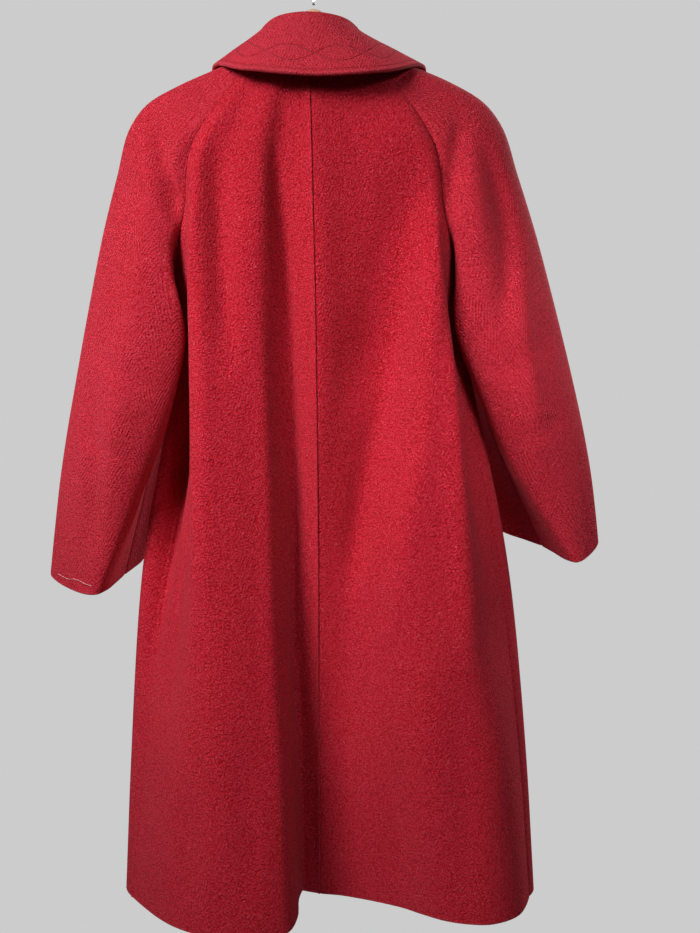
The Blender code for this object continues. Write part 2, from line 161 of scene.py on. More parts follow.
class Graph:
    """The node graph of one material, with its Principled shader."""

    def __init__(self, name: str) -> None:
        """Start a material with a shader alone.

        Args:
            name: The material's name.
        """
        self.material = bpy.data.materials.new(name)
        self.material.use_nodes = True
        self.tree = self.material.node_tree
        self.shader = self.tree.nodes["Principled BSDF"]

    def node(self, kind: str, settings: dict | None = None, sockets: dict | None = None) -> bpy.types.Node:
        """Add a node.

        Args:
            kind: The node's type.
            settings: Its settings, set first; stops are a colour ramp's places and colours.
            sockets: Values or links of its inputs, by identifier or name.

        Returns:
            The new node.
        """
        node = self.tree.nodes.new(kind)
        for name, value in (settings or {}).items():
            if name == "stops":
                self.set_stops(node.color_ramp, value)
            else:
                setattr(node, name, value)
        for name, value in (sockets or {}).items():
            self.feed(self.find(node.inputs, name), value)
        return node

    @staticmethod
    def set_stops(ramp: bpy.types.ColorRamp, stops: Iterable[tuple[float, Place]]) -> None:
        """Give a colour ramp its stops.

        Args:
            ramp: The ramp, with its first two stops.
            stops: Place and colour of each stop.
        """
        for number, (place, colour) in enumerate(stops):
            if number < len(ramp.elements):
                element = ramp.elements[number]
                element.position = place
            else:
                element = ramp.elements.new(place)
            element.color = (*colour, 1.0)

    @staticmethod
    def find(sockets: bpy.types.NodeInputs, name: str) -> bpy.types.NodeSocket:
        """Look a socket up.

        Args:
            sockets: Sockets of one node.
            name: Identifier or, where none is the same, name.

        Returns:
            The socket.
        """
        for socket in sockets:
            if socket.identifier == name:
                return socket
        return sockets[name]

    def feed(self, socket: bpy.types.NodeSocket, value: Source) -> None:
        """Link a value to an input, or set it there.

        Args:
            socket: The input.
            value: A value, a socket or a constant.
        """
        if isinstance(value, Value):
            value = value.socket
        if isinstance(value, bpy.types.NodeSocket):
            self.tree.links.new(value, socket)
        else:
            socket.default_value = value

    def math(self, operation: str, *values: Value | float) -> Value:
        """Add a Math node.

        Args:
            operation: The node's operation.
            values: Its inputs, as values or numbers.

        Returns:
            The node's result.
        """
        node = self.node("ShaderNodeMath", {"operation": operation})
        for socket, value in zip(node.inputs, values):
            self.feed(socket, value)
        return Value(self, node.outputs[0])

    def noise(self, scale: float, detail: float = 2.0, distortion: float = 0.0, roughness: float = 0.5,
              place: bpy.types.NodeSocket | None = None) -> Value:
        """Noise between 0 and 1 in the piece's own space.

        Args:
            scale: Features in a metre.
            detail: Finer layers.
            distortion: How far it is swirled.
            roughness: Weight of the finer layers.
            place: Other coordinates to read.

        Returns:
            The noise.
        """
        if place is None:
            place = self.place()
        sockets = {"Vector": place, "Scale": scale, "Detail": detail, "Roughness": roughness}
        sockets["Distortion"] = distortion
        node = self.node("ShaderNodeTexNoise", None, sockets)
        return Value(self, node.outputs["Fac"])

    def cells(self, scale: float) -> Value:
        """Spread round grains in the piece's own space.

        Args:
            scale: Grains in a metre.

        Returns:
            Distance to the middle of the nearest grain.
        """
        settings = {"feature": "SMOOTH_F1"}
        sockets = {"Vector": self.place(), "Scale": scale, "Smoothness": GRAIN_SMOOTHNESS}
        return Value(self, self.node("ShaderNodeTexVoronoi", settings, sockets).outputs["Distance"])

    def place(self) -> bpy.types.NodeSocket:
        """Object coordinates."""
        return self.node("ShaderNodeTexCoord").outputs["Object"]

    def stretched(self, scale: Place) -> bpy.types.NodeSocket:
        """Object coordinates, scaled along each axis."""
        sockets = {"Vector": self.place(), "Scale": scale}
        return self.node("ShaderNodeMapping", None, sockets).outputs["Vector"]

    def attribute(self, name: str) -> list[Value]:
        """Read a vector from the mesh.

        Args:
            name: The attribute's name.

        Returns:
            Its three numbers.
        """
        read = self.node("ShaderNodeAttribute", {"attribute_name": name})
        split = self.node("ShaderNodeSeparateXYZ", None, {"Vector": read.outputs["Vector"]})
        return [Value(self, socket) for socket in split.outputs]

    def ramp(self, factor: Value, stops: Iterable[tuple[float, Place]]) -> bpy.types.NodeSocket:
        """Colour ramp on a factor."""
        return self.node("ShaderNodeValToRGB", {"stops": stops}, {"Fac": factor}).outputs["Color"]

    def mix(self, factor: Value | float, first: bpy.types.NodeSocket, second: bpy.types.NodeSocket | Place,
            blend: str = "MIX") -> bpy.types.NodeSocket:
        """Mix two colours.

        Args:
            factor: Share of the second one.
            first: The first colour.
            second: The second colour.
            blend: How they are mixed.

        Returns:
            The mixed colour.
        """
        if isinstance(second, tuple):
            second = (*second, 1.0)
        sockets = {"Factor_Float": factor, "A_Color": first, "B_Color": second}
        node = self.node("ShaderNodeMix", {"data_type": "RGBA", "blend_type": blend}, sockets)
        return self.find(node.outputs, "Result_Color")

    def bump(self, height: Value, distance: float) -> None:
        """Raise the shader's surface.

        Args:
            height: The height at each place.
            distance: How far a height of 1 stands out, in metres.
        """
        node = self.node("ShaderNodeBump", None, {"Height": height, "Distance": distance, "Strength": 1.0})
        self.set(Normal=node.outputs["Normal"])

    def set(self, **values: Source) -> None:
        """Feed the shader's own sockets, named with underscores for spaces."""
        for name, value in values.items():
            self.feed(self.shader.inputs[name.replace("_", " ")], value)


# Finishes


@dataclass(frozen=True)
class Tweed:
    """Napped wool tweed with a faint herringbone.

    Scales are features in a metre, and widths and the relief are in millimetres. A height or a shade is the
    weight of a layer in the relief or in the colour. The tuft layer of the colour is painted shade between
    the tufts and a painted sheen on their tops, and the groove layer is painted shade in the stitch lines.
    """

    name: str
    weave: float
    nap: float
    middle: Place = (0.520, 0.0135, 0.0310)
    stitched: bool = False
    # Darkest random tone of the wool, and painted shade in the gaps between the tufts.
    deep: Place = (0.360, 0.0045, 0.0110)
    # Palest random tone of the wool, and a painted sheen on the tops of the tufts.
    tip_and_painted_sheen: Place = (0.640, 0.0500, 0.0780)
    worn: Place = (0.680, 0.1000, 0.1250)
    colour_stops: Place = (0.18, 0.50, 0.86)
    stripe: float = 24.0
    stripe_drift: float = 3.0
    drift_scale: float = 38.0
    rib: float = 3.4
    rib_slope: float = 20.0
    rib_wander: float = 1.2
    wander_scale: float = 170.0
    felt_scale: float = 26.0
    felt_range: Span = (0.36, 0.62)
    felted_rib: float = 0.3
    grain_scale: float = 430.0
    grain_middle: float = 0.45
    grain_height: float = 1.1
    tuft_scale: float = 500.0
    tuft_height: float = 1.3
    # Weight of the tufts in the colour: painted shade between them and a painted sheen on their tops.
    painted_tuft_shade: float = 0.60
    fibre_scale: float = 1100.0
    fibre_height: float = 0.7
    fibre_shade: float = 0.9
    weave_height: float = 0.7
    weave_shade: float = 0.42
    tone_scale: float = 5.5
    tone_shade: float = 0.12
    # Painted shade in the sunk lines under the collar's stitches.
    painted_groove_shade: float = 0.10
    worn_width: float = 5.0
    worn_scale: float = 120.0
    worn_share: float = 0.4
    lint_scale: float = 330.0
    lint_range: Span = (0.79, 0.83)
    lint_share: float = 0.5
    relief: float = 1.3

    def ribs(self, graph: Graph) -> Value:
        """Draw the ribs of the herringbone.

        Args:
            graph: The material's graph.

        Returns:
            From -0.5 in a valley to 0.5 on a rib.
        """
        across, along, _ = graph.attribute("grain")
        drift = graph.noise(self.drift_scale) - 0.5
        wander = graph.noise(self.wander_scale, detail=1.0) - 0.5
        lean = (across + drift * self.stripe_drift * MM).zigzag(self.stripe * MM)
        slope = math.radians(self.rib_slope)
        walk = lean * math.cos(slope) + along * math.sin(slope) + wander * self.rib_wander * MM
        rib = (walk * (2 * math.pi / (self.rib * MM))).sine() * 0.5
        felted = graph.noise(self.felt_scale).smooth(*self.felt_range)
        return rib * (felted * (1 - self.felted_rib) + self.felted_rib)

    def make(self) -> bpy.types.Material:
        """Build the material.

        Returns:
            The tweed.
        """
        graph = Graph(self.name)
        edge = graph.attribute("grain")[2]
        weave = self.ribs(graph) * self.weave
        grains = (self.grain_middle - graph.cells(self.grain_scale)) * self.grain_height
        curls = graph.noise(self.tuft_scale, distortion=0.9, roughness=0.55) - 0.5
        tufts = grains + curls * self.tuft_height
        fibres = graph.noise(self.fibre_scale, distortion=0.6, roughness=0.6) - 0.5
        tone = graph.noise(self.tone_scale, detail=3.0) - 0.5
        height = tufts * self.nap + fibres * self.fibre_height + weave * self.weave_height
        # Colour level: random tone, plus painted shade between the tufts and a painted sheen on their tops.
        shade = 0.5 + tufts * self.painted_tuft_shade * self.nap + fibres * self.fibre_shade
        shade = shade + weave * self.weave_shade + tone * self.tone_shade
        if self.stitched:
            groove = StitchedChain().groove(graph)
            height = height - groove
            # Painted shade in the sunk stitch lines.
            shade = shade - groove * self.painted_groove_shade
        colour = graph.ramp(shade, tuple(zip(self.colour_stops, (self.deep, self.middle, self.tip_and_painted_sheen))))
        rubbed = graph.noise(self.worn_scale) * self.worn_share
        colour = graph.mix((1 - edge.smooth(0.0, self.worn_width * MM)) * rubbed, colour, self.worn)
        lint = graph.noise(self.lint_scale, detail=0.0).smooth(*self.lint_range) * self.lint_share
        graph.set(Base_Color=graph.mix(lint, colour, self.worn), Roughness=0.92, Specular_IOR_Level=0.10)
        graph.set(Sheen_Weight=0.08, Sheen_Roughness=0.42, Sheen_Tint=(1.0, 0.40, 0.46, 1.0))
        graph.bump(height, self.relief * MM)
        return graph.material


@dataclass(frozen=True)
class Thread:
    """Twisted sewing thread."""

    name: str
    colour: Place
    dark: Place
    twist_scale: float = 2400.0
    relief: float = 0.15

    def make(self) -> bpy.types.Material:
        """Build the material.

        Returns:
            The thread.
        """
        graph = Graph(self.name)
        twist = graph.noise(self.twist_scale, detail=1.0)
        shaded = graph.ramp(twist, ((0.0, self.dark), (1.0, self.colour)))
        graph.set(Base_Color=graph.mix(twist, shaded, self.colour))
        graph.set(Roughness=0.7, Specular_IOR_Level=0.25, Sheen_Weight=0.2)
        graph.bump(twist, self.relief * MM)
        return graph.material


@dataclass(frozen=True)
class Wood:
    """Varnished pale wood, with its grain along the bar."""

    name: str = "wood_varnished"
    pale: Place = (0.72, 0.47, 0.31)
    dark: Place = (0.52, 0.29, 0.16)
    ring_scale: Place = (9.0, 150.0, 120.0)
    ring_stops: Span = (0.30, 0.72)
    pore_scale: Place = (60.0, 900.0, 900.0)
    pore_range: Span = (0.58, 0.70)
    pore_share: float = 0.45
    roughness: float = 0.34
    pore_roughness: float = 0.2
    relief: float = 0.12

    def make(self) -> bpy.types.Material:
        """Build the material.

        Returns:
            The wood.
        """
        graph = Graph(self.name)
        along = graph.stretched(self.ring_scale)
        rings = graph.noise(1.0, detail=3.0, distortion=1.2, roughness=0.55, place=along)
        pores = graph.noise(1.0, place=graph.stretched(self.pore_scale))
        colour = graph.ramp(rings, tuple(zip(self.ring_stops, (self.pale, self.dark))))
        colour = graph.mix(pores.smooth(*self.pore_range) * self.pore_share, colour, self.dark)
        graph.set(Base_Color=colour, Roughness=self.roughness + pores * self.pore_roughness)
        graph.set(Coat_Weight=0.35, Coat_Roughness=0.18)
        graph.bump(pores * -1.0, self.relief * MM)
        return graph.material


@dataclass(frozen=True)
class Steel:
    """Bright drawn wire with fine scratches along it."""

    name: str = "wire_steel"
    bright: Place = (0.60, 0.60, 0.61)
    stained: Place = (0.42, 0.41, 0.40)
    stain_scale: float = 160.0
    stain_stops: Span = (0.35, 0.80)
    scratch_scale: Place = (900.0, 900.0, 120.0)
    roughness: float = 0.20
    scratch_roughness: float = 0.22
    relief: float = 0.03

    def make(self) -> bpy.types.Material:
        """Build the material.

        Returns:
            The steel.
        """
        graph = Graph(self.name)
        along = graph.stretched(self.scratch_scale)
        scratches = graph.noise(1.0, detail=3.0, roughness=0.6, place=along)
        stain = graph.noise(self.stain_scale, detail=3.0)
        colour = graph.ramp(stain, tuple(zip(self.stain_stops, (self.bright, self.stained))))
        graph.set(Base_Color=colour, Roughness=self.roughness + scratches * self.scratch_roughness)
        graph.set(Metallic=1.0)
        graph.bump(scratches, self.relief * MM)
        return graph.material


@dataclass(frozen=True)
class ButtonPlastic:
    """Dark red cast plastic with a faint swirl."""

    name: str = "button_plastic"
    dark: Place = (0.050, 0.005, 0.008)
    light: Place = (0.190, 0.018, 0.026)
    swirl_scale: float = 110.0
    swirl_stops: Span = (0.30, 0.75)
    mark_scale: float = 1400.0
    roughness: float = 0.26
    mark_roughness: float = 0.16
    relief: float = 0.03

    def make(self) -> bpy.types.Material:
        """Build the material.

        Returns:
            The plastic.
        """
        graph = Graph(self.name)
        swirl = graph.noise(self.swirl_scale, detail=3.0, distortion=2.4)
        marks = graph.noise(self.mark_scale)
        colour = graph.ramp(swirl, tuple(zip(self.swirl_stops, (self.dark, self.light))))
        graph.set(Base_Color=colour, Roughness=self.roughness + marks * self.mark_roughness)
        graph.set(Specular_IOR_Level=0.5, Coat_Weight=0.2, Coat_Roughness=0.15)
        graph.bump(marks, self.relief * MM)
        return graph.material


@dataclass(frozen=True)
class Plaster:
    """Pale matt floor."""

    name: str = "floor_plaster"
    dark: Place = (0.58, 0.58, 0.58)
    pale: Place = (0.63, 0.63, 0.63)
    speckle_scale: float = 60.0

    def make(self) -> bpy.types.Material:
        """Build the material.

        Returns:
            The plaster.
        """
        graph = Graph(self.name)
        speckle = graph.noise(self.speckle_scale, detail=4.0)
        graph.set(Base_Color=graph.ramp(speckle, ((0.2, self.dark), (0.8, self.pale))), Roughness=0.9)
        return graph.material


# Objects and meshes


def add_object(name: str, data: bpy.types.ID) -> bpy.types.Object:
    """Put an object with its data into the scene.

    Args:
        name: The object's name.
        data: Its mesh, lamp or camera.

    Returns:
        The object.
    """
    thing = bpy.data.objects.new(name, data)
    bpy.context.scene.collection.objects.link(thing)
    return thing


def evaluated(thing: bpy.types.Object) -> bpy.types.Mesh:
    """New mesh of an object with its modifiers worked out."""
    graph = bpy.context.evaluated_depsgraph_get()
    return bpy.data.meshes.new_from_object(thing.evaluated_get(graph), depsgraph=graph)


# Geometry of lines and grids


def unit(vectors: np.ndarray) -> np.ndarray:
    """Vectors at length one."""
    return vectors / np.linalg.norm(vectors, axis=-1, keepdims=True)


def spline(knots: np.ndarray, values: np.ndarray, at: np.ndarray) -> np.ndarray:
    """Smooth curve through values at increasing knots.

    Args:
        knots: Places of the values.
        values: One row for each knot.
        at: Places to read.

    Returns:
        One row for each place.
    """
    shape = values.shape[1:]
    values = values.reshape(len(knots), -1)
    step = np.diff(knots)[:, None]
    slope = np.diff(values, axis=0) / step
    middle = (step[1:] * slope[:-1] + step[:-1] * slope[1:]) / (step[1:] + step[:-1])
    tangent = np.vstack([slope[:1], middle, slope[-1:]])
    i = np.clip(np.searchsorted(knots, at, side="right") - 1, 0, len(knots) - 2)
    run = step[i]
    t = (at - knots[i])[:, None] / run
    start = (1 + 2 * t) * (1 - t) ** 2 * values[i] + t * (1 - t) ** 2 * run * tangent[i]
    end = t * t * (3 - 2 * t) * values[i + 1] + t * t * (t - 1) * run * tangent[i + 1]
    return (start + end).reshape(len(at), *shape)


def walked(points: np.ndarray) -> np.ndarray:
    """Length walked along the first axis of a grid of points."""
    steps = np.linalg.norm(np.diff(points, axis=0), axis=-1)
    return np.concatenate([np.zeros_like(steps[:1]), np.cumsum(steps, axis=0)])


def grid_normals(grid: np.ndarray) -> np.ndarray:
    """Unit normals of a grid of points."""
    down, across = np.gradient(grid, axis=(0, 1))
    return unit(np.cross(down, across))


def smooth_step(t: np.ndarray) -> np.ndarray:
    """Smooth rise from 0 to 1."""
    t = np.clip(t, 0, 1)
    return t * t * (3 - 2 * t)


@dataclass(frozen=True)
class Crease:
    """A soft trough or ridge: its line, how deep and wide it is, and which way it is pushed."""

    line: tuple[Place, ...]
    depth: float
    width: float
    push: Place = (0, 1, 0)
    taper: float = 0.3
    pieces: tuple[str, ...] = ()

    def offset(self, points: np.ndarray) -> np.ndarray:
        """Move points that lie near the line.

        Args:
            points: Places in millimetres.

        Returns:
            How far each one moves.
        """
        line = np.array(self.line, float)
        lengths = walked(line)
        nearest = np.full(len(points), np.inf)
        along = np.zeros(len(points))
        for number in range(len(line) - 1):
            run = line[number + 1] - line[number]
            t = np.clip((points - line[number]) @ run / (run @ run), 0, 1)
            distance = np.linalg.norm(points - line[number] - t[:, None] * run, axis=1)
            closer = distance < nearest
            nearest = np.where(closer, distance, nearest)
            walk = lengths[number] + t * (lengths[number + 1] - lengths[number])
            along = np.where(closer, walk / lengths[-1], along)
        ends = smooth_step(along / self.taper) * smooth_step((1 - along) / self.taper)
        amount = self.depth * ends * np.exp(-((nearest / self.width) ** 2))
        return amount[:, None] * unit(np.array(self.push, float))


OUT_BACK = (0, -1, 0)
OUT_FRONT = (0, 1, 0)
INTO_BACK = OUT_FRONT
INTO_FRONT = OUT_BACK

# Troughs and ridges of the back, then of the sleeves, then of the hidden front. A row gives the line, the
# depth, the width and the push, then the taper and the pieces where they aren't the usual ones.
CREASES = (
    Crease(((-112, -65, -205), (-115, -74, -271), (-108, -78, -376), (-95, -87, -540)), 8.0, 15, INTO_BACK),
    Crease(((-48, -70, -215), (-39, -73, -317), (-28, -56, -492), (-24, -42, -678), (-27, -35, -805),
            (-22, -18, -1040)), 12.0, 9.5, (0.05, 1, 0), 0.15),
    Crease(((-152, -40, -490), (-162, -22, -554), (-192, -16, -745), (-212, -12, -900), (-219, -10, -980)),
           22.0, 16, (0.3, 1, 0), 0.5),
    Crease(((-166, -16, -540), (-198, -9, -745), (-207, -8, -830)), 22.0, 18, (0.35, 1, 0), 0.5),
    Crease(((-62, -80, -380), (-57, -74, -553), (-54, -72, -674), (-48, -82, -920), (-33, -84, -1160)),
           5.0, 14, (0.5, -1, 0)),
    Crease(((14, -72, -215), (18, -80, -388), (17, -71, -577), (16, -61, -700)), 4.5, 17, OUT_BACK),
    Crease(((122, -74, -230), (126, -78, -317), (121, -80, -376), (99, -72, -492), (72, -60, -615),
            (42, -44, -820)), 13.0, 20, INTO_BACK, 0.2),
    Crease(((106, -74, -220), (104, -76, -317), (84, -72, -433), (57, -62, -590)), 14.0, 28, INTO_BACK),
    Crease(((150, -70, -270), (154, -76, -341), (150, -82, -435), (130, -82, -576), (101, -78, -796),
            (86, -66, -910)), 7.0, 17, OUT_BACK, 0.25),
    Crease(((-138, -74, -300), (-132, -86, -529), (-133, -98, -850)), 6.0, 16, OUT_BACK),
    Crease(((158, -80, -420), (176, -78, -576), (196, -72, -920)), 9.0, 19, OUT_BACK, 0.25),
    Crease(((-160, -52, -300), (-162, -42, -370), (-156, -42, -430), (-150, -48, -480)), 11.0, 20, OUT_BACK),
    Crease(((-160, -44, -400), (-168, -36, -460), (-188, -27, -620), (-196, -22, -720)),
           15.0, 26, (0.2, 1, 0), 0.25, ("back_left", "front_left")),
    Crease(((160, -54, -285), (164, -44, -340), (166, -38, -390), (170, -36, -440)),
           10.0, 18, OUT_BACK, 0.4),
    Crease(((158, -74, -440), (146, -86, -500), (128, -82, -580), (116, -78, -660)), 2.4, 13, INTO_BACK),
    Crease(((-150, -60, -520), (-140, -84, -580), (-132, -92, -680), (-134, -96, -780)), 2.4, 14, INTO_BACK),
    Crease(((-92, -100, -930), (-80, -108, -1060), (-84, -112, -1215)), 4.0, 22, INTO_BACK, 0.4),
    Crease(((-150, -94, -1000), (-158, -92, -1120), (-166, -86, -1220)), 4.5, 20, INTO_BACK, 0.4),
    Crease(((96, -60, -930), (104, -52, -1060), (112, -38, -1220)), 5.0, 24, INTO_BACK, 0.4),
    Crease(((176, -80, -860), (186, -80, -1020), (196, -76, -1220)), 4.0, 22, INTO_BACK, 0.4),
    Crease(((228, -66, -820), (240, -64, -960), (246, -62, -1110)), 4.0, 20, OUT_BACK, 0.4),
    Crease(((-200, -44, -185), (-181, -60, -268), (-170, -62, -315), (-164, -54, -360)),
           12.0, 13, (0.3, 1, 0)),
    Crease(((184, -50, -190), (172, -61, -268), (167, -60, -315), (167, -50, -350)),
           9.0, 12, (-0.2, 1, 0)),
    Crease(((194, -46, -222), (220, -52, -278), (234, -55, -337), (236, -64, -409), (227, -62, -490)),
           10.0, 17, INTO_BACK),
    Crease(((190, -60, -270), (194, -64, -330), (198, -66, -400)), 4.0, 13, OUT_BACK),
    Crease(((244, -48, -350), (250, -54, -420), (258, -58, -480), (268, -50, -580), (296, -23, -680)),
           5.0, 17, OUT_BACK),
    Crease(((-276, -34, -500), (-275, -34, -553), (-271, -37, -628), (-282, -25, -705), (-294, -14, -770)),
           4.5, 14, INTO_BACK),
    Crease(((-232, -55, -420), (-241, -55, -553), (-249, -41, -653), (-258, -34, -730)), 3.0, 18, OUT_BACK),
    Crease(((-178, -50, -545), (-215, -60, -530), (-262, -46, -500), (-290, -20, -480)), 1.8, 13, INTO_BACK),
    Crease(((-208, -46, -640), (-240, -50, -622), (-284, -36, -600), (-316, -4, -588)), 1.5, 12, INTO_BACK),
    Crease(((208, -52, -530), (244, -60, -512), (286, -46, -480), (314, -18, -462)), 1.8, 13, INTO_BACK),
    Crease(((240, -40, -610), (280, -44, -592), (322, -30, -566)), 1.5, 12, INTO_BACK),
    Crease(((-58, 70, -250), (-66, 68, -420), (-74, 68, -640), (-86, 70, -860)), 8.0, 16, INTO_FRONT),
    Crease(((-118, 60, -420), (-128, 54, -620), (-134, 56, -860), (-140, 60, -1090)), 11.0, 20, INTO_FRONT),
    Crease(((-150, 44, -430), (-122, 58, -500), (-96, 64, -600)), 5.0, 13, INTO_FRONT),
    Crease(((-172, 52, -900), (-186, 56, -1050), (-196, 64, -1230)), 7.0, 20, INTO_FRONT, 0.4),
    Crease(((-96, 72, -960), (-104, 75, -1100), (-108, 78, -1245)), 6.0, 18, INTO_FRONT, 0.4),
    Crease(((62, 74, -260), (70, 73, -400), (76, 73, -600), (84, 76, -800)), 9.0, 18, INTO_FRONT),
    Crease(((116, 62, -480), (128, 57, -660), (138, 57, -880), (146, 60, -1100)), 8.5, 19, INTO_FRONT),
    Crease(((154, 44, -426), (128, 58, -490), (100, 66, -580)), 4.0, 12, INTO_FRONT),
    Crease(((188, 48, -800), (206, 54, -960), (224, 64, -1230)), 8.0, 21, INTO_FRONT, 0.4),
    Crease(((104, 76, -940), (112, 77, -1090), (118, 79, -1245)), 6.5, 18, INTO_FRONT, 0.4),
    Crease(((-196, 66, -520), (-232, 76, -520), (-276, 60, -500)), 4.5, 13, INTO_FRONT),
    Crease(((-206, 76, -620), (-250, 88, -610), (-300, 66, -590)), 3.5, 12, INTO_FRONT),
    Crease(((-210, 52, -330), (-222, 66, -420), (-236, 78, -540)), 5.0, 15, INTO_FRONT),
    Crease(((212, 66, -520), (256, 78, -515), (300, 54, -490)), 4.0, 13, INTO_FRONT),
    Crease(((224, 84, -610), (276, 96, -600), (328, 64, -580)), 3.8, 13, INTO_FRONT),
    Crease(((216, 52, -330), (230, 66, -420), (246, 78, -540)), 5.5, 15, INTO_FRONT),
)


# Cloth pieces


class Side(Enum):
    """How a side of a cloth piece ends: in a rolled seam, in a pressed seam or turned in."""

    SEWN = "sewn"
    PRESSED = "pressed"
    TURNED = "turned"


class Grain(Enum):
    """The column that a piece's straight grain is measured from."""

    FIRST = "first"
    LAST = "last"
    NAPE = "nape"


class WallReader:
    """Reads the rows and columns of a cloth wall back from its packed triangles."""

    MERGE = 1e-6
    ACROSS_SLACK = 0.002

    def __init__(self, node: bpy.types.Object, rows: int, columns: int, thickness: float) -> None:
        """Take a node's triangles.

        Args:
            node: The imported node.
            rows: Points down the wall.
            columns: Points across it.
            thickness: Distance between its two faces.
        """
        self.rows = rows
        self.columns = columns
        body = bmesh.new()
        body.from_mesh(node.data)
        bmesh.ops.remove_doubles(body, verts=body.verts, dist=self.MERGE)
        body.verts.index_update()
        self.points = np.array([vert.co for vert in body.verts]) / MM
        triangles = [tuple(vert.index for vert in face.verts) for face in body.faces]
        body.free()
        self.partner = self.pair(triangles, thickness)
        flat = [t for t in triangles if all(self.partner.get(a) != b for a, b in self.sides(t))]
        self.sheets = self.split(flat)

    def pair(self, triangles: list[tuple[int, ...]], thickness: float) -> dict[int, int]:
        """Match the points on both sides of the wall's rim.

        Args:
            triangles: All triangles of the wall.
            thickness: Distance between its two faces.

        Returns:
            The point across the rim from each point on it.
        """
        near: dict[int, set[int]] = {}
        across: dict[int, set[int]] = {}
        for a, b in (side for triangle in triangles for side in self.sides(triangle)):
            near.setdefault(a, set()).add(b)
            if abs(np.linalg.norm(self.points[a] - self.points[b]) - thickness) < self.ACROSS_SLACK:
                across.setdefault(a, set()).add(b)
        partner = {}
        for a, others in across.items():
            for b in others:
                beside = [d for c in near[a] - {b} for d in across.get(c, ()) if d in near[b] - {a}]
                if len(beside) > 1:
                    partner[a] = b
        return partner

    @staticmethod
    def edge(a: int, b: int) -> tuple[int, int]:
        """Two points in rising order."""
        return (a, b) if a < b else (b, a)

    @staticmethod
    def sides(triangle: tuple[int, ...]) -> list[tuple[int, int]]:
        """The three sides of a triangle, in its own direction."""
        return list(zip(triangle, triangle[1:] + triangle[:1]))

    @staticmethod
    def split(triangles: list[tuple[int, ...]]) -> list[list[tuple[int, ...]]]:
        """Group triangles that share points.

        Args:
            triangles: The triangles, as point numbers.

        Returns:
            The triangles of each group.
        """
        at_point: dict[int, list[int]] = {}
        for number, triangle in enumerate(triangles):
            for point in triangle:
                at_point.setdefault(point, []).append(number)
        left = set(range(len(triangles)))
        groups = []
        while left:
            stack = [left.pop()]
            group = []
            while stack:
                number = stack.pop()
                group.append(triangles[number])
                near = {n for point in triangles[number] for n in at_point[point]} & left
                left -= near
                stack.extend(near)
            groups.append(group)
        return groups

    def border(self, sheet: list[tuple[int, ...]]) -> list[int]:
        """Walk round a sheet.

        Args:
            sheet: The sheet's triangles.

        Returns:
            Point numbers of its border, in order.
        """
        directed = {side for triangle in sheet for side in self.sides(triangle)}
        following = {a: b for a, b in directed if (b, a) not in directed}
        start = min(following)
        loop = [start]
        while following[loop[-1]] != start:
            loop.append(following[loop[-1]])
        return loop

    def march(self, sheet: list[tuple[int, ...]], top: list[int], first: list[int]) -> np.ndarray | None:
        """Fill a grid of points from its top row and first column.

        Args:
            sheet: The sheet's triangles.
            top: Points of the top row.
            first: Points of the first column.

        Returns:
            Point numbers by row and column, or None where the rows don't fit.
        """
        thirds: dict[tuple[int, int], list[int]] = {}
        for triangle in sheet:
            for number, side in enumerate(self.sides(triangle)):
                thirds.setdefault(self.edge(*side), []).append(triangle[number - 1])
        grid = np.full((self.rows, self.columns), -1)
        grid[0] = top
        grid[:, 0] = first
        used: set[frozenset[int]] = set()
        for r in range(self.rows - 1):
            for c in range(self.columns - 1):
                known = (int(grid[r, c]), int(grid[r, c + 1]), int(grid[r + 1, c]))
                corner = self.corner(thirds, used, *known)
                if corner is None:
                    return None
                grid[r + 1, c + 1] = corner
        return grid

    def corner(self, thirds: dict, used: set, a: int, b: int, d: int) -> int | None:
        """Find the fourth corner of a square.

        Args:
            thirds: Points across from each edge.
            used: Triangles of the squares before; this square's are added.
            a: The corner between the two known sides.
            b: The corner after it in the row.
            d: The corner after it in the column.

        Returns:
            The fourth corner, or None where no square fits.
        """
        for third in thirds.get(self.edge(a, b), ()):
            first = frozenset((a, b, third))
            if first in used:
                continue
            if third == d:
                for found in thirds[self.edge(b, d)]:
                    if found != a and frozenset((b, d, found)) not in used:
                        used.update((first, frozenset((b, d, found))))
                        return found
            elif d in thirds.get(self.edge(a, third), ()):
                used.update((first, frozenset((a, third, d))))
                return third
        return None

    def read(self, down: Place, across: Place) -> tuple[np.ndarray, np.ndarray]:
        """Find the grid whose rows and columns run in the given directions.

        Args:
            down: Rough direction from the first row to the last.
            across: Rough direction from the first column to the last.

        Returns:
            The outer and the inner points by row and column.
        """
        first, second = self.sheets
        rim = self.border(first)[0]
        through = self.points[rim] - self.points[self.partner[rim]]
        a, b, c = (self.points[i] for i in next(triangle for triangle in first if rim in triangle))
        if np.cross(b - a, c - a) @ through < 0:
            first, second = second, first
        loop = self.border(first)
        best = None
        best_score = -np.inf
        for way in (loop, loop[::-1]):
            for start in range(len(way)):
                turned = way[start:] + way[:start]
                top = turned[: self.columns]
                column = turned[:1] + turned[: -self.rows : -1]
                grid = self.march(first, top, column)
                if grid is None:
                    continue
                score = (self.points[grid[-1]].mean(0) - self.points[grid[0]].mean(0)) @ down
                score += (self.points[grid[:, -1]].mean(0) - self.points[grid[:, 0]].mean(0)) @ across
                if score > best_score:
                    best = grid
                    best_score = score
        top = [self.partner[i] for i in best[0].tolist()]
        column = [self.partner[i] for i in best[:, 0].tolist()]
        inner = self.march(second, top, column)
        return self.points[best], self.points[inner]


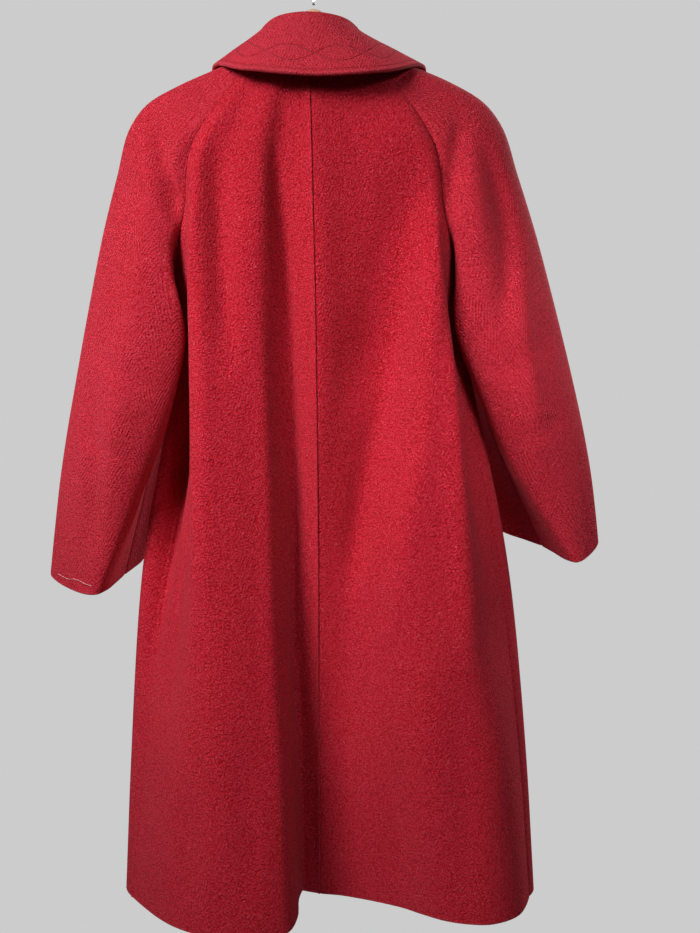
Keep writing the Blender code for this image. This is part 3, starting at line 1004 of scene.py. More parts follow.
@dataclass
class ClothPiece:
    """A cut piece of cloth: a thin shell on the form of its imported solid."""

    node: str
    rows: int
    columns: int
    down: Place
    across: Place
    sides: dict[str, Side]
    grain: Grain
    cut: tuple[float, float]
    area: float
    finish: Tweed
    thickness: float = 3.0
    step_down: float = 6.0
    step_across: float = 5.0
    edge_steps: tuple[float, ...] = (0.0, 0.2, 0.6, 1.2, 2.0, 3.2)
    turned_radius: float = 1.7
    turned_edge: float = 0.16
    sewn_radius: float = 0.9
    seam_reach: float = 0.3
    seam_width: float = 2.2
    middle: np.ndarray = field(init=False, repr=False)
    normal: np.ndarray = field(init=False, repr=False)
    half: np.ndarray = field(init=False, repr=False)
    over: np.ndarray = field(init=False, repr=False)
    under: np.ndarray = field(init=False, repr=False)

    SEAM_EDGE = {Side.SEWN: 0.65, Side.PRESSED: 0.90}
    SEAM_DIP = {Side.SEWN: 1.1, Side.PRESSED: 0.3}
    SEARCH_ROUNDS = 4

    def stations(self, length: float, step: float) -> np.ndarray:
        """Space places along a length, close together at both ends and even between.

        Args:
            length: The length.
            step: Rough distance between the even places.

        Returns:
            The places.
        """
        lead = np.array(self.edge_steps)
        count = max(3, round((length - 2 * lead[-1]) / step))
        even = np.linspace(lead[-1], length - lead[-1], count + 1)
        return np.concatenate([lead[:-1], even, length - lead[-2::-1]])

    def read(self, node: bpy.types.Object) -> None:
        """Read the solid's form and draw it finer.

        Args:
            node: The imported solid.
        """
        reader = WallReader(node, self.rows, self.columns, self.thickness)
        outer, inner = reader.read(self.down, self.across)
        middle = (outer + inner) / 2
        normal = unit(outer - inner)
        down = walked(middle).mean(axis=1)
        across = walked(middle.swapaxes(0, 1)).mean(axis=1)
        at_down = self.stations(down[-1], self.step_down)
        at_across = self.stations(across[-1], self.step_across)
        both = np.concatenate([middle, normal], axis=2)
        both = spline(down, both, at_down).swapaxes(0, 1)
        both = spline(across, both, at_across).swapaxes(0, 1)
        self.middle = both[..., :3]
        self.normal = unit(both[..., 3:])

    def crease(self) -> None:
        """Push the listed troughs and ridges into the cloth."""
        before = grid_normals(self.middle)
        points = self.middle.reshape(-1, 3)
        creases = [crease for crease in CREASES if not crease.pieces or self.node in crease.pieces]
        moved = points + sum(crease.offset(points) for crease in creases)
        self.middle = moved.reshape(self.middle.shape)
        after = grid_normals(self.middle)
        facing = np.sign(np.sum(before * self.normal, axis=-1, keepdims=True))
        self.normal = unit(self.normal + facing * (after - before))

    def measure(self) -> None:
        """Measure how far along the rows and columns each point lies."""
        self.under = walked(self.middle)
        self.over = walked(self.middle.swapaxes(0, 1)).swapaxes(0, 1)

    def distances(self) -> dict[str, np.ndarray]:
        """Measure the distance of each point from the piece's sides.

        Returns:
            The distances, by side.
        """
        return {
            "top": self.under,
            "bottom": self.under[-1:] - self.under,
            "first": self.over,
            "last": self.over[:, -1:] - self.over,
        }

    def close_seams(self) -> None:
        """Stretch sewn sides over the gap that the solids leave between them."""
        if self.sides["first"] is Side.SEWN:
            self.middle[:, 0] += self.seam_reach * unit(self.middle[:, 0] - self.middle[:, 2])
        if self.sides["last"] is Side.SEWN:
            self.middle[:, -1] += self.seam_reach * unit(self.middle[:, -1] - self.middle[:, -3])
        if self.sides["top"] is not Side.TURNED:
            self.middle[0] += self.seam_reach * unit(self.middle[0] - self.middle[2])

    def finish_edges(self) -> None:
        """Roll sewn sides into their seams and round the sides that are turned in."""
        half = np.full(self.under.shape, self.thickness / 2)
        dip = np.zeros(self.under.shape)
        for name, distance in self.distances().items():
            side = self.sides[name]
            if side is Side.TURNED:
                share = np.clip(distance / self.turned_radius, self.turned_edge ** 2, 1)
                half *= np.sqrt(1 - (1 - share) ** 2)
                continue
            share = np.clip(distance / self.sewn_radius, 0, 1)
            half *= 1 - (1 - self.SEAM_EDGE[side]) * (1 - share) ** 2
            roll = np.exp(-((distance / self.seam_width) ** 2))
            dip = np.maximum(dip, self.SEAM_DIP[side] * roll)
        self.middle = self.middle - dip[..., None] * self.normal
        self.half = half

    def grain_places(self) -> np.ndarray:
        """Find where each point lies in the flat cloth.

        Returns:
            Places across and along the grain and distances from a turned side, in metres.
        """
        turned = [d for name, d in self.distances().items() if self.sides[name] is Side.TURNED]
        edge = np.min(turned, axis=0)
        return np.stack([self.across_grain(), self.under - self.under[-1:], edge], axis=-1) * MM

    def across_grain(self) -> np.ndarray:
        """Measure each point from the grain's own column, square to the columns.

        Returns:
            The distances.
        """
        along = unit(np.gradient(self.middle, axis=0))
        steps = np.diff(self.middle, axis=1)
        course = unit(along[:, 1:] + along[:, :-1])
        square = steps - np.sum(steps * course, axis=-1, keepdims=True) * course
        drawn = np.concatenate([np.zeros_like(square[:, :1]), np.cumsum(square, axis=1)], axis=1)
        over = walked(drawn.swapaxes(0, 1)).swapaxes(0, 1)
        if self.grain is Grain.FIRST:
            start = 0
        elif self.grain is Grain.LAST:
            start = -1
        else:
            start = int(np.argmin(self.middle[..., 1].mean(axis=0)))
        return over - over[:, start][:, None]

    def places_on(self, overs: np.ndarray, heights: np.ndarray, lift: float) -> np.ndarray:
        """Find points on the outer face.

        Args:
            overs: Distances across the grain, in millimetres.
            heights: Distances above the bottom side.
            lift: Height over the face.

        Returns:
            The places, in millimetres.
        """
        across = self.grain_places()[..., 0] / MM
        bottom = self.under[-1:] - self.under
        outer = self.middle + self.normal * (self.half[..., None] + lift)
        rows, columns = (np.arange(count) for count in self.over.shape)
        places = []
        for over, height in zip(overs, heights):
            column = len(columns) / 2
            for _ in range(self.SEARCH_ROUNDS):
                c = int(np.clip(round(column), 0, columns[-1]))
                row = np.interp(height, bottom[::-1, c], rows[::-1])
                r = int(np.clip(round(row), 0, rows[-1]))
                column = np.interp(over, across[r], columns)
            r = int(min(row, rows[-2]))
            c = int(min(column, columns[-2]))
            t = row - r
            u = column - c
            near = outer[r, c] * (1 - u) + outer[r, c + 1] * u
            far = outer[r + 1, c] * (1 - u) + outer[r + 1, c + 1] * u
            places.append(near * (1 - t) + far * t)
        return np.array(places)

    def shape(self, node: bpy.types.Object) -> None:
        """Work out the shell's form.

        Args:
            node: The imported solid.
        """
        self.read(node)
        self.crease()
        self.close_seams()
        self.measure()
        self.finish_edges()

    def build(self) -> bpy.types.Object:
        """Make the shell's mesh.

        Returns:
            The shell, with its places in the flat cloth as an attribute.
        """
        rows, columns = self.half.shape
        offset = self.normal * self.half[..., None]
        points = np.stack([self.middle + offset, self.middle - offset]).reshape(-1, 3)
        back = rows * columns
        index = np.arange(back).reshape(rows, columns)
        squares = np.stack([index[:-1, :-1], index[:-1, 1:], index[1:, 1:], index[1:, :-1]], axis=-1)
        quads = squares.reshape(-1, 4)
        rim = np.concatenate([index[0, :-1], index[:-1, -1], index[-1, :0:-1], index[:0:-1, 0]])
        ahead = np.roll(rim, -1)
        edge = np.stack([ahead, rim, rim + back, ahead + back], axis=-1)
        faces = np.concatenate([quads, quads[:, ::-1] + back, edge])
        across = np.diff(self.middle, axis=1)[:-1]
        down = np.diff(self.middle, axis=0)[:, :-1]
        if np.sum(np.cross(across, down) * self.normal[:-1, :-1]) < 0:
            faces = faces[:, ::-1]
        mesh = bpy.data.meshes.new(self.node + "_cloth")
        mesh.from_pydata((points * MM).tolist(), [], faces.tolist())
        mesh.shade_smooth()
        grain = mesh.attributes.new("grain", "FLOAT_VECTOR", "POINT")
        places = self.grain_places().reshape(-1, 3)
        grain.data.foreach_set("vector", np.concatenate([places, places]).astype(np.float32).ravel())
        return add_object(self.node + "_cloth", mesh)


@dataclass(frozen=True)
class StitchedChain:
    """Two crossing waves of stitches round the collar, and the line of stitches along its edge."""

    pitch: float = 59.0
    rise: float = 12.5
    above_edge: float = 32.0
    edge_line: float = 6.5
    groove_width: float = 1.5
    groove_floor: float = 0.3
    end_margin: float = 20.0
    step: float = 2.0
    sink: float = 0.1

    def groove(self, graph: Graph) -> Value:
        """Mark lines under the stitches, sunk in the tweed's relief and darkened there as painted shade.

        Args:
            graph: The material's graph.

        Returns:
            From 0 on the cloth to 1 in a line.
        """
        across, _, edge = graph.attribute("grain")
        wave = (across * (math.pi / (self.pitch * MM))).sine() * (self.rise * MM)
        upper = abs(edge - self.above_edge * MM - wave)
        lower = abs(edge - self.above_edge * MM + wave)
        line = abs(edge - self.edge_line * MM)
        near = upper.math("MINIMUM", lower).math("MINIMUM", line)
        return 1 - near.smooth(self.groove_floor * self.groove_width * MM, self.groove_width * MM)

    def paths(self, collar: ClothPiece) -> list[np.ndarray]:
        """Draw the stitch lines on the collar's outer face.

        Args:
            collar: The shaped collar.

        Returns:
            The points of each line, in millimetres.
        """
        across = collar.grain_places()[-1, :, 0] / MM
        places = np.arange(across.min() + self.end_margin, across.max() - self.end_margin, self.step)
        wave = self.rise * np.sin(places * math.pi / self.pitch)
        straight = np.full(len(places), self.edge_line)
        heights = (self.above_edge + wave, self.above_edge - wave, straight)
        return [collar.places_on(places, line, -self.sink) for line in heights]


# Stitches


@dataclass(frozen=True)
class Stitch:
    """Sizes of one stitch: from it to the next one, its length and half of its thickness."""

    pitch: float
    length: float
    radius: float


class StitchTree:
    """Geometry Nodes tree that lays stitches along the edges of a mesh."""

    SIDES = 6
    RINGS = 4
    SOCKETS = (
        ("Geometry", "INPUT", "NodeSocketGeometry"),
        ("Pitch", "INPUT", "NodeSocketFloat"),
        ("Length", "INPUT", "NodeSocketFloat"),
        ("Radius", "INPUT", "NodeSocketFloat"),
        ("Thread", "INPUT", "NodeSocketMaterial"),
        ("Geometry", "OUTPUT", "NodeSocketGeometry"),
    )

    def __init__(self) -> None:
        """Build the tree."""
        self.tree = bpy.data.node_groups.new("stitches", "GeometryNodeTree")
        self.inputs: dict[str, str] = {}
        for name, way, kind in self.SOCKETS:
            socket = self.tree.interface.new_socket(name, in_out=way, socket_type=kind)
            if way == "INPUT":
                self.inputs[name] = socket.identifier
        given = self.node("NodeGroupInput").outputs
        path = self.node("GeometryNodeMeshToCurve", {"Mesh": given["Geometry"]})
        spaced = self.node("GeometryNodeResampleCurve", {
            "Curve": path.outputs["Curve"],
            "Length": given["Pitch"],
        }, mode="LENGTH")
        bead = self.node("GeometryNodeMeshUVSphere", {
            "Segments": self.SIDES,
            "Rings": self.RINGS,
            "Radius": 1.0,
        })
        half = self.node("ShaderNodeMath", {0: given["Length"], 1: 0.5}, operation="MULTIPLY")
        size = self.node("ShaderNodeCombineXYZ", {
            "X": half.outputs[0],
            "Y": given["Radius"],
            "Z": given["Radius"],
        })
        stitch = self.node("GeometryNodeTransform", {
            "Geometry": bead.outputs["Mesh"],
            "Scale": size.outputs[0],
        })
        tangent = self.node("GeometryNodeInputTangent")
        turn = self.node("FunctionNodeAlignRotationToVector", {"Vector": tangent.outputs[0]}, axis="X")
        rows = self.node("GeometryNodeInstanceOnPoints", {
            "Points": spaced.outputs["Curve"],
            "Instance": stitch.outputs["Geometry"],
            "Rotation": turn.outputs["Rotation"],
        })
        real = self.node("GeometryNodeRealizeInstances", {"Geometry": rows.outputs["Instances"]})
        smooth = self.node("GeometryNodeSetShadeSmooth", {"Geometry": real.outputs["Geometry"]})
        dressed = self.node("GeometryNodeSetMaterial", {
            "Geometry": smooth.outputs["Geometry"],
            "Material": given["Thread"],
        })
        self.node("NodeGroupOutput", {"Geometry": dressed.outputs["Geometry"]})

    def node(self, kind: str, sockets: dict | None = None, **settings: str) -> bpy.types.Node:
        """Add a node.

        Args:
            kind: The node's type.
            sockets: Values or links of its inputs.
            settings: Its settings, set first.

        Returns:
            The new node.
        """
        node = self.tree.nodes.new(kind)
        for name, value in settings.items():
            setattr(node, name, value)
        for name, value in (sockets or {}).items():
            if isinstance(value, bpy.types.NodeSocket):
                self.tree.links.new(value, node.inputs[name])
            else:
                node.inputs[name].default_value = value
        return node

    def lay(self, name: str, lines: list[np.ndarray], stitch: Stitch,
            thread: bpy.types.Material) -> bpy.types.Object:
        """Lay stitches along lines.

        Args:
            name: Name of the piece.
            lines: Points of each line, in millimetres.
            stitch: Sizes of a stitch.
            thread: The thread's material.

        Returns:
            The stitches as a plain mesh.
        """
        points: list[list[float]] = []
        edges: list[tuple[int, int]] = []
        for line in lines:
            start = len(points)
            points.extend((line * MM).tolist())
            edges.extend((start + i, start + i + 1) for i in range(len(line) - 1))
        mesh = bpy.data.meshes.new(name)
        mesh.from_pydata(points, edges, [])
        piece = add_object(name, mesh)
        modifier = piece.modifiers.new("stitches", "NODES")
        modifier.node_group = self.tree
        modifier[self.inputs["Pitch"]] = stitch.pitch * MM
        modifier[self.inputs["Length"]] = stitch.length * MM
        modifier[self.inputs["Radius"]] = stitch.radius * MM
        modifier[self.inputs["Thread"]] = thread
        sewn = evaluated(piece)
        piece.modifiers.remove(modifier)
        piece.data = sewn
        bpy.data.meshes.remove(mesh)
        return piece


# Sub-assemblies


def add_piece(name: str, mesh: bpy.types.Mesh, material: bpy.types.Material) -> bpy.types.Object:
    """Put a finished mesh into the scene.

    Args:
        name: Name of the piece.
        mesh: Its mesh, in its place.
        material: Its material.

    Returns:
        The piece, riding on the body.
    """
    mesh.materials.clear()
    mesh.materials.append(material)
    return ride(add_object(name, mesh))


def ride(piece: bpy.types.Object) -> bpy.types.Object:
    """Let a piece ride on the body.

    Args:
        piece: The piece, in its place.

    Returns:
        The same piece.
    """
    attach(piece, BODY)
    LOG.info("%s: %d faces", piece.name, len(piece.data.polygons))
    return piece


SEWN_PANEL = {"top": Side.PRESSED, "bottom": Side.TURNED, "first": Side.SEWN, "last": Side.SEWN}
FRONT_PANEL = {"top": Side.PRESSED, "bottom": Side.TURNED, "first": Side.SEWN, "last": Side.TURNED}
COLLAR_SIDES = {"top": Side.SEWN, "bottom": Side.TURNED, "first": Side.TURNED, "last": Side.TURNED}
BODY_TWEED = Tweed("tweed_body", weave=0.25, nap=0.95)
# The sleeve and collar middle colours are paler and pinker than the body's: a painted sheen from the light
# above.
SLEEVE_TWEED = Tweed("tweed_sleeve", weave=0.55, nap=0.85, middle=(0.520, 0.0210, 0.0410))
COLLAR_TWEED = Tweed("tweed_collar", weave=0.55, nap=0.70, middle=(0.525, 0.0270, 0.0480), stitched=True)
RED_THREAD = Thread("thread_red", (0.420, 0.012, 0.026), (0.280, 0.007, 0.015))
PALE_THREAD = Thread("thread_pale", (0.80, 0.50, 0.48), (0.60, 0.30, 0.30))

# Flat width and length, in metres, and flat area, in square metres, of what shows of each piece.
CUTS = {
    "back_left": ((0.39, 1.13), 0.289),
    "back_right": ((0.34, 1.13), 0.273),
    "front_left": ((0.36, 1.13), 0.289),
    "front_right": ((0.39, 1.13), 0.308),
    "sleeve_left_back": ((0.37, 0.77), 0.123),
    "sleeve_left_front": ((0.36, 0.77), 0.116),
    "sleeve_right_back": ((0.37, 0.74), 0.113),
    "sleeve_right_front": ((0.36, 0.74), 0.116),
    "collar": ((0.73, 0.17), 0.074),
}


@dataclass
class Coat:
    """The sewn coat: its cloth pieces and its stitches.

    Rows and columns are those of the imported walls.
    """

    frame: dict
    stitches: StitchTree
    thread: bpy.types.Material
    body_rows: int = 22
    left_back_columns: int = 15
    right_back_columns: int = 13
    front_columns: int = 12
    sleeve_rows: int = 13
    sleeve_columns: int = 13
    sleeve_lean: float = 0.4
    sleeve_tilt: float = 0.6
    collar_rows: int = 11
    collar_columns: int = 55
    collar_thickness: float = 5.0
    collar_step_down: float = 3.0
    collar_step_across: float = 4.0
    collar_stitch: Stitch = Stitch(pitch=2.6, length=2.3, radius=0.26)
    loose_stitch: Stitch = Stitch(pitch=1.2, length=2.2, radius=0.32)
    loose_points: int = 40
    loose_line: tuple[Place, ...] = (
        (-338, 17, -783), (-331, 11, -785), (-322, 5, -787), (-312, -1, -786), (-304, -7, -787),
        (-296, -11, -790), (-288, -13, -792),
    )
    pieces: dict[str, ClothPiece] = field(default_factory=dict)
    shells: dict[str, bpy.types.Object] = field(default_factory=dict)

    def plan(self) -> None:
        """List the cut pieces."""
        down = (0, 0, -1)
        body = self.body_rows
        sleeve = (self.sleeve_rows, self.sleeve_columns)
        back_columns = {"left": self.left_back_columns, "right": self.right_back_columns}
        for side, way in (("left", -1), ("right", 1)):
            outward = (way, 0, 0)
            inward = (-way, 0, 0)
            lean = (way * self.sleeve_lean, 0, -1)
            over = (way, 0, self.sleeve_tilt)
            under = (-way, 0, -self.sleeve_tilt)
            back = (body, back_columns[side])
            front = (body, self.front_columns)
            rows = (
                (f"back_{side}", *back, down, outward, SEWN_PANEL, Grain.FIRST, BODY_TWEED),
                (f"front_{side}", *front, down, inward, FRONT_PANEL, Grain.LAST, BODY_TWEED),
                (f"sleeve_{side}_back", *sleeve, lean, over, SEWN_PANEL, Grain.LAST, SLEEVE_TWEED),
                (f"sleeve_{side}_front", *sleeve, lean, under, SEWN_PANEL, Grain.FIRST, SLEEVE_TWEED),
            )
            for name, *form, tweed in rows:
                self.pieces[name] = ClothPiece(name, *form, *CUTS[name], tweed)
        self.pieces["collar"] = ClothPiece(
            "collar", self.collar_rows, self.collar_columns, down, (1, 0, 0), COLLAR_SIDES, Grain.NAPE,
            *CUTS["collar"], COLLAR_TWEED, thickness=self.collar_thickness,
            step_down=self.collar_step_down, step_across=self.collar_step_across)

    def build(self) -> None:
        """Make every cloth piece and its stitches."""
        self.plan()
        finishes: dict[Tweed, bpy.types.Material] = {}
        for name, piece in self.pieces.items():
            piece.shape(self.frame["nodes"][name])
            shell = piece.build()
            if piece.finish not in finishes:
                finishes[piece.finish] = piece.finish.make()
            shell.data.materials.append(finishes[piece.finish])
            ride(shell)
            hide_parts(name)
            self.shells[name] = shell
        sewn_on = {"collar": [self.sew_collar()], "sleeve_left_back": [self.add_loose_thread()]}

    def sew_collar(self) -> bpy.types.Object:
        """Lay the collar's chain of stitches and its edge stitching."""
        lines = StitchedChain().paths(self.pieces["collar"])
        return ride(self.stitches.lay("collar_stitches", lines, self.collar_stitch, self.thread))

    def add_loose_thread(self) -> bpy.types.Object:
        """Lay the pale pulled thread along the left cuff.

        Returns:
            The thread.
        """
        line = np.array(self.loose_line, float)
        walk = walked(line)
        path = spline(walk, line, np.linspace(0, walk[-1], self.loose_points))
        pale = PALE_THREAD.make()
        return ride(self.stitches.lay("left_cuff_thread", [path], self.loose_stitch, pale))


@dataclass
class Buttons:
    """Four plain buttons on thread shanks, with their worked buttonholes."""

    frame: dict
    front: ClothPiece
    stitches: StitchTree
    thread: bpy.types.Material
    nodes: tuple[str, ...] = ("button_1", "button_2", "button_3", "button_4")
    segments: int = 56
    radius: float = 14.0
    thickness: float = 4.0
    shank: float = 2.0
    outline: tuple[Span, ...] = (
        (0.0, 0.62), (0.50, 0.62), (0.64, 0.70), (0.72, 0.94), (0.80, 1.0), (0.90, 0.97), (0.97, 0.80),
        (1.0, 0.50), (0.98, 0.24), (0.92, 0.06), (0.82, 0.0), (0.0, 0.0),
    )
    sharp_angle: float = 50.0
    hole_radius: float = 1.1
    hole_spread: float = 2.6
    hole_segments: int = 14
    thread_stitch: Stitch = Stitch(pitch=0.9, length=1.8, radius=0.38)
    thread_foot: float = 0.70
    thread_shift: float = 0.4
    thread_arch: float = 0.5
    thread_points: int = 8
    wind_radius: float = 1.7
    wind_turns: int = 5
    wind_points: int = 80
    wind_start: float = 0.3
    wind_rise: float = 1.6
    slit_stitch: Stitch = Stitch(pitch=0.85, length=2.4, radius=0.36)
    slit_length: float = 30.0
    slit_start: float = -3.0
    slit_lip: float = 1.3
    slit_lift: float = 0.1
    slit_points: int = 30

    def build(self) -> None:
        """Make the buttons, their threads and the buttonholes."""
        plastic = ButtonPlastic().make()
        slits = []
        for node in self.nodes:
            seat, out = self.seat(node)
            place = Matrix.Translation(seat) @ out.to_track_quat("Z", "Y").to_matrix().to_4x4()
            disc = add_piece(node + "_disc", self.disc(node, place), plastic)
            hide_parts(node)
            lines = self.thread_lines(place)
            ride(self.stitches.lay(node + "_thread", lines, self.thread_stitch, self.thread))
            slits.extend(self.slit_lines(seat))
        ride(self.stitches.lay("buttonhole_stitches", slits, self.slit_stitch, self.thread))

    def seat(self, node: str) -> tuple[Vector, Vector]:
        """Find where a button stands.

        Args:
            node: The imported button.

        Returns:
            The middle of its foot and the direction out of the cloth, in metres.
        """
        points = np.array([vert.co for vert in self.frame["nodes"][node].data.vertices])
        points = np.unique(points.round(7), axis=0)
        centre = points.mean(axis=0)
        _, _, axes = np.linalg.svd(points - centre)
        out = axes[2] if axes[2][1] > 0 else -axes[2]
        low = ((points - centre) @ out).min()
        return Vector(centre + out * low), Vector(out)

    def disc(self, name: str, place: Matrix) -> bpy.types.Mesh:
        """Turn a disc with a raised rim and four holes.

        Args:
            name: The button's name.
            place: Where it stands.

        Returns:
            Its mesh.
        """
        body = bmesh.new()
        turns = [2 * math.pi * i / self.segments for i in range(self.segments)]
        rings = []
        for share, height in self.outline:
            z = (self.shank + height * self.thickness) * MM
            wide = share * self.radius * MM
            if share == 0.0:
                rings.append([body.verts.new((0, 0, z))])
            else:
                rings.append([body.verts.new((wide * math.cos(t), wide * math.sin(t), z)) for t in turns])
        for upper, lower in zip(rings, rings[1:]):
            for i in range(self.segments):
                j = (i + 1) % self.segments
                steps = ((upper, i), (lower, i), (lower, j), (upper, j))
                corners = [ring[number % len(ring)] for ring, number in steps]
                body.faces.new(list(dict.fromkeys(corners)))
        bmesh.ops.recalc_face_normals(body, faces=body.faces)
        mesh = bpy.data.meshes.new(name + "_disc")
        body.to_mesh(mesh)
        body.free()
        mesh = self.drill(mesh)
        mesh.transform(place)
        mesh.shade_smooth()
        mesh.set_sharp_from_angle(angle=math.radians(self.sharp_angle))
        return mesh

    def hole_places(self) -> list[tuple[float, float]]:
        """Places of the four holes on the disc."""
        corners = ((-1, -1), (1, -1), (1, 1), (-1, 1))
        return [(x * self.hole_spread, y * self.hole_spread) for x, y in corners]

    def drill(self, mesh: bpy.types.Mesh) -> bpy.types.Mesh:
        """Cut the sewing holes through a disc.

        Args:
            mesh: The disc.

        Returns:
            The drilled disc.
        """
        drills = bmesh.new()
        wide = self.hole_radius * MM
        deep = 4 * self.thickness * MM
        for x, y in self.hole_places():
            made = bmesh.ops.create_cone(
                drills, cap_ends=True, segments=self.hole_segments, radius1=wide, radius2=wide, depth=deep)
            bmesh.ops.translate(drills, verts=made["verts"], vec=(x * MM, y * MM, 0))
        cutter_mesh = bpy.data.meshes.new("button_cutter")
        drills.to_mesh(cutter_mesh)
        drills.free()
        cutter = add_object("button_cutter", cutter_mesh)
        blank = add_object("button_blank", mesh)
        cut = blank.modifiers.new("holes", "BOOLEAN")
        cut.object = cutter
        cut.operation = "DIFFERENCE"
        drilled = evaluated(blank)
        bpy.data.objects.remove(blank)
        bpy.data.objects.remove(cutter)
        return drilled

    def thread_lines(self, place: Matrix) -> list[np.ndarray]:
        """Draw the threads over a disc between its holes, and the wound shank under it.

        Args:
            place: Where the button stands.

        Returns:
            The points of each line, in millimetres.
        """
        top = self.shank + self.thread_foot * self.thickness
        holes = self.hole_places()
        lines = []
        for first, second in ((0, 1), (3, 2)):
            for shift in (-self.thread_shift, self.thread_shift):
                start, end = (Vector((holes[i][0], holes[i][1] + shift, 0)) for i in (first, second))
                line = []
                for t in np.linspace(0, 1, self.thread_points):
                    arch = self.thread_arch * math.sin(math.pi * t)
                    line.append(start.lerp(end, t) + Vector((0, 0, top + arch)))
                lines.append(line)
        whole = self.wind_turns * 2 * math.pi
        winds = []
        for turn in np.linspace(0, whole, self.wind_points):
            height = self.wind_start + self.wind_rise * turn / whole
            x = self.wind_radius * math.cos(turn)
            y = self.wind_radius * math.sin(turn)
            winds.append(Vector((x, y, height)))
        lines.append(winds)
        return [np.array([place @ (point * MM) for point in line]) / MM for line in lines]

    def slit_lines(self, seat: Vector) -> list[np.ndarray]:
        """Draw short stitches across both lips of a worked buttonhole.

        Args:
            seat: Middle of the button's foot, in metres.

        Returns:
            The points of each line, in millimetres.
        """
        start = np.array(seat) / MM + (self.slit_start, 0.0, 0.0)
        outer = self.front.middle + self.front.normal * self.front.half[..., None]
        cloth = outer.reshape(-1, 3)
        lines = []
        for lip in (-self.slit_lip, self.slit_lip):
            line = []
            for along in np.linspace(0, self.slit_length, self.slit_points):
                point = start + (along, 0.0, lip)
                near = cloth[np.argmin(np.sum((cloth[:, ::2] - point[::2]) ** 2, axis=1))]
                line.append((point[0], near[1] + self.slit_lift, point[2]))
            lines.append(np.array(line))
        return lines


@dataclass
class Hanger:
    """The plain hanger: its wooden bar and its wire hook."""

    frame: dict
    levels: int = 2
    crease_angle: float = 60.0
    crease: float = 0.7

    def build(self) -> None:
        """Make smooth copies of the bar and the hook."""
        for node, finish, slot in (("hanger_bar", Wood(), "wood"), ("hanger_hook", Steel(), "steel")):
            piece = add_piece(node + "_smooth", self.smoothed(node), finish.make())
            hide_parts(node)

    def smoothed(self, node: str) -> bpy.types.Mesh:
        """Copy a node smoothly, with its end caps kept sharp.

        Args:
            node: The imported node.

        Returns:
            The smooth mesh.
        """
        sharp = math.radians(self.crease_angle)
        body = bmesh.new()
        body.from_mesh(self.frame["nodes"][node].data)
        bmesh.ops.remove_doubles(body, verts=body.verts, dist=WallReader.MERGE)
        bmesh.ops.join_triangles(
            body, faces=body.faces, angle_face_threshold=sharp, angle_shape_threshold=math.pi)
        creases = body.edges.layers.float.new("crease_edge")
        for edge in body.edges:
            if edge.calc_face_angle(0.0) > sharp:
                edge[creases] = self.crease
        mesh = bpy.data.meshes.new(node + "_smooth")
        body.to_mesh(mesh)
        body.free()
        draft = add_object(node + "_draft", mesh)
        rounding = draft.modifiers.new("rounding", "SUBSURF")
        rounding.levels = self.levels
        rounding.render_levels = self.levels
        smooth = evaluated(draft)
        bpy.data.objects.remove(draft)
        smooth.shade_smooth()
        return smooth


# Stage


@dataclass(frozen=True)
class Lamp:
    """A soft square lamp: its place, target and size in metres, its power in watts, its beam in degrees."""

    name: str
    place: Place
    target: Place
    size: float
    power: float
    beam: float = 180.0
    colour: Place = (1.0, 1.0, 1.0)

    def add(self) -> None:
        """Hang the lamp."""
        data = bpy.data.lights.new(self.name, "AREA")
        data.shape = "SQUARE"
        data.size = self.size
        data.energy = self.power
        data.spread = math.radians(self.beam)
        data.color = self.colour
        lamp = add_object(self.name, data)
        lamp.location = self.place
        aim = Vector(self.target) - Vector(self.place)
        lamp.rotation_euler = aim.to_track_quat("-Z", "Y").to_euler()


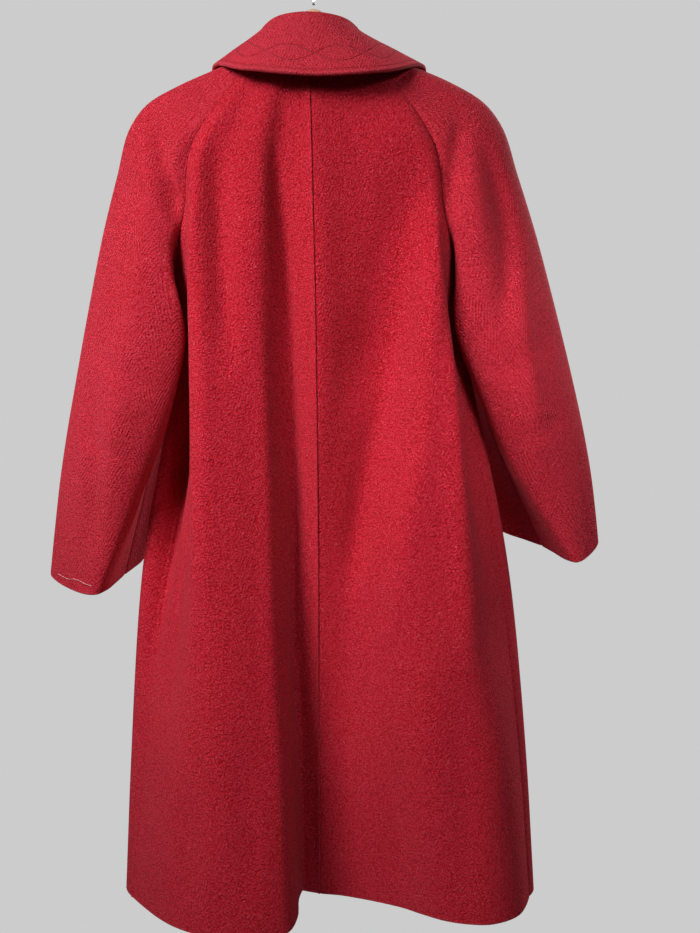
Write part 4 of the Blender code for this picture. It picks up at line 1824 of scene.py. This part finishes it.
@dataclass
class Studio:
    """The camera, the soft lights, the plain grey surround and the floor."""

    camera_place: Place = (0.045, -1.25, -0.530)
    pitch: float = 85.0
    focal_pixels: float = 976.6
    frame_height: float = 933.0
    sensor: float = 36.0
    surround: float = 0.604
    ambient: float = 0.03
    floor_height: float = -1.75
    floor_radius: float = 0.68
    floor_sides: int = 96
    lamps: tuple[Lamp, ...] = (
        Lamp("key", (-0.88, -0.92, 0.55), (0.0, 0.0, -0.5), size=0.75, power=19.5,
             colour=(1.0, 0.985, 0.97)),
        Lamp("left_fill", (-0.95, -1.02, 0.20), (0.02, 0.0, -0.80), size=0.6, power=2.5, beam=60.0),
        Lamp("right_fill", (0.62, -1.26, 0.10), (0.24, 0.0, -0.74), size=0.6, power=0.95, beam=50.0),
        Lamp("sleeve_fill", (0.60, -1.30, 0.10), (0.33, 0.0, -0.50), size=0.4, power=0.24, beam=28.0),
        Lamp("front_key", (1.5, 1.6, 0.6), (0.0, 0.0, -0.6), size=0.9, power=46.0),
        Lamp("front_fill", (-1.2, 2.0, 0.1), (0.0, 0.0, -0.6), size=1.4, power=16.0),
    )

    def build(self) -> None:
        """Set the stage."""
        self.add_camera()
        self.add_surround()
        self.add_floor()
        for lamp in self.lamps:
            lamp.add()
        settings = bpy.context.scene.view_settings
        settings.view_transform = "Standard"
        settings.look = "None"

    def add_camera(self) -> None:
        """Put the camera at the photograph's angle."""
        data = bpy.data.cameras.new("camera")
        data.sensor_fit = "VERTICAL"
        data.sensor_height = self.sensor
        data.lens = self.focal_pixels * self.sensor / self.frame_height
        camera = add_object("camera", data)
        camera.location = self.camera_place
        camera.rotation_euler = (math.radians(self.pitch), 0, 0)
        bpy.context.scene.camera = camera

    def add_surround(self) -> None:
        """Make the plain grey surround, which lights the coat more softly than it looks."""
        world = bpy.data.worlds.new("surround")
        world.use_nodes = True
        bpy.context.scene.world = world
        tree = world.node_tree
        seen = tree.nodes["Background"]
        seen.inputs["Color"].default_value = (self.surround, self.surround, self.surround, 1.0)
        soft = tree.nodes.new("ShaderNodeBackground")
        soft.inputs["Color"].default_value = (self.ambient, self.ambient, self.ambient, 1.0)
        rays = tree.nodes.new("ShaderNodeLightPath")
        choose = tree.nodes.new("ShaderNodeMixShader")
        tree.links.new(rays.outputs["Is Camera Ray"], choose.inputs[0])
        tree.links.new(soft.outputs[0], choose.inputs[1])
        tree.links.new(seen.outputs[0], choose.inputs[2])
        tree.links.new(choose.outputs[0], tree.nodes["World Output"].inputs["Surface"])

    def add_floor(self) -> None:
        """Lay a round pale floor under the coat."""
        body = bmesh.new()
        bmesh.ops.create_circle(body, cap_ends=True, segments=self.floor_sides, radius=self.floor_radius)
        bmesh.ops.translate(body, verts=body.verts, vec=(0, 0, self.floor_height))
        mesh = bpy.data.meshes.new("floor")
        body.to_mesh(mesh)
        body.free()
        mesh.materials.append(Plaster().make())
        add_object("floor", mesh)


def main() -> None:
    """Build the coat, its buttons and its hanger, and set the stage."""
    logging.basicConfig(level=logging.INFO, format="%(name)s %(message)s")
    for thing in list(bpy.data.objects):
        bpy.data.objects.remove(thing, do_unlink=True)
    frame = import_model()
    stitches = StitchTree()
    thread = RED_THREAD.make()
    coat = Coat(frame, stitches, thread)
    coat.build()
    Buttons(frame, coat.pieces["front_right"], stitches, thread).build()
    Hanger(frame).build()
    Studio().build()


if __name__ == "__main__":
    main()
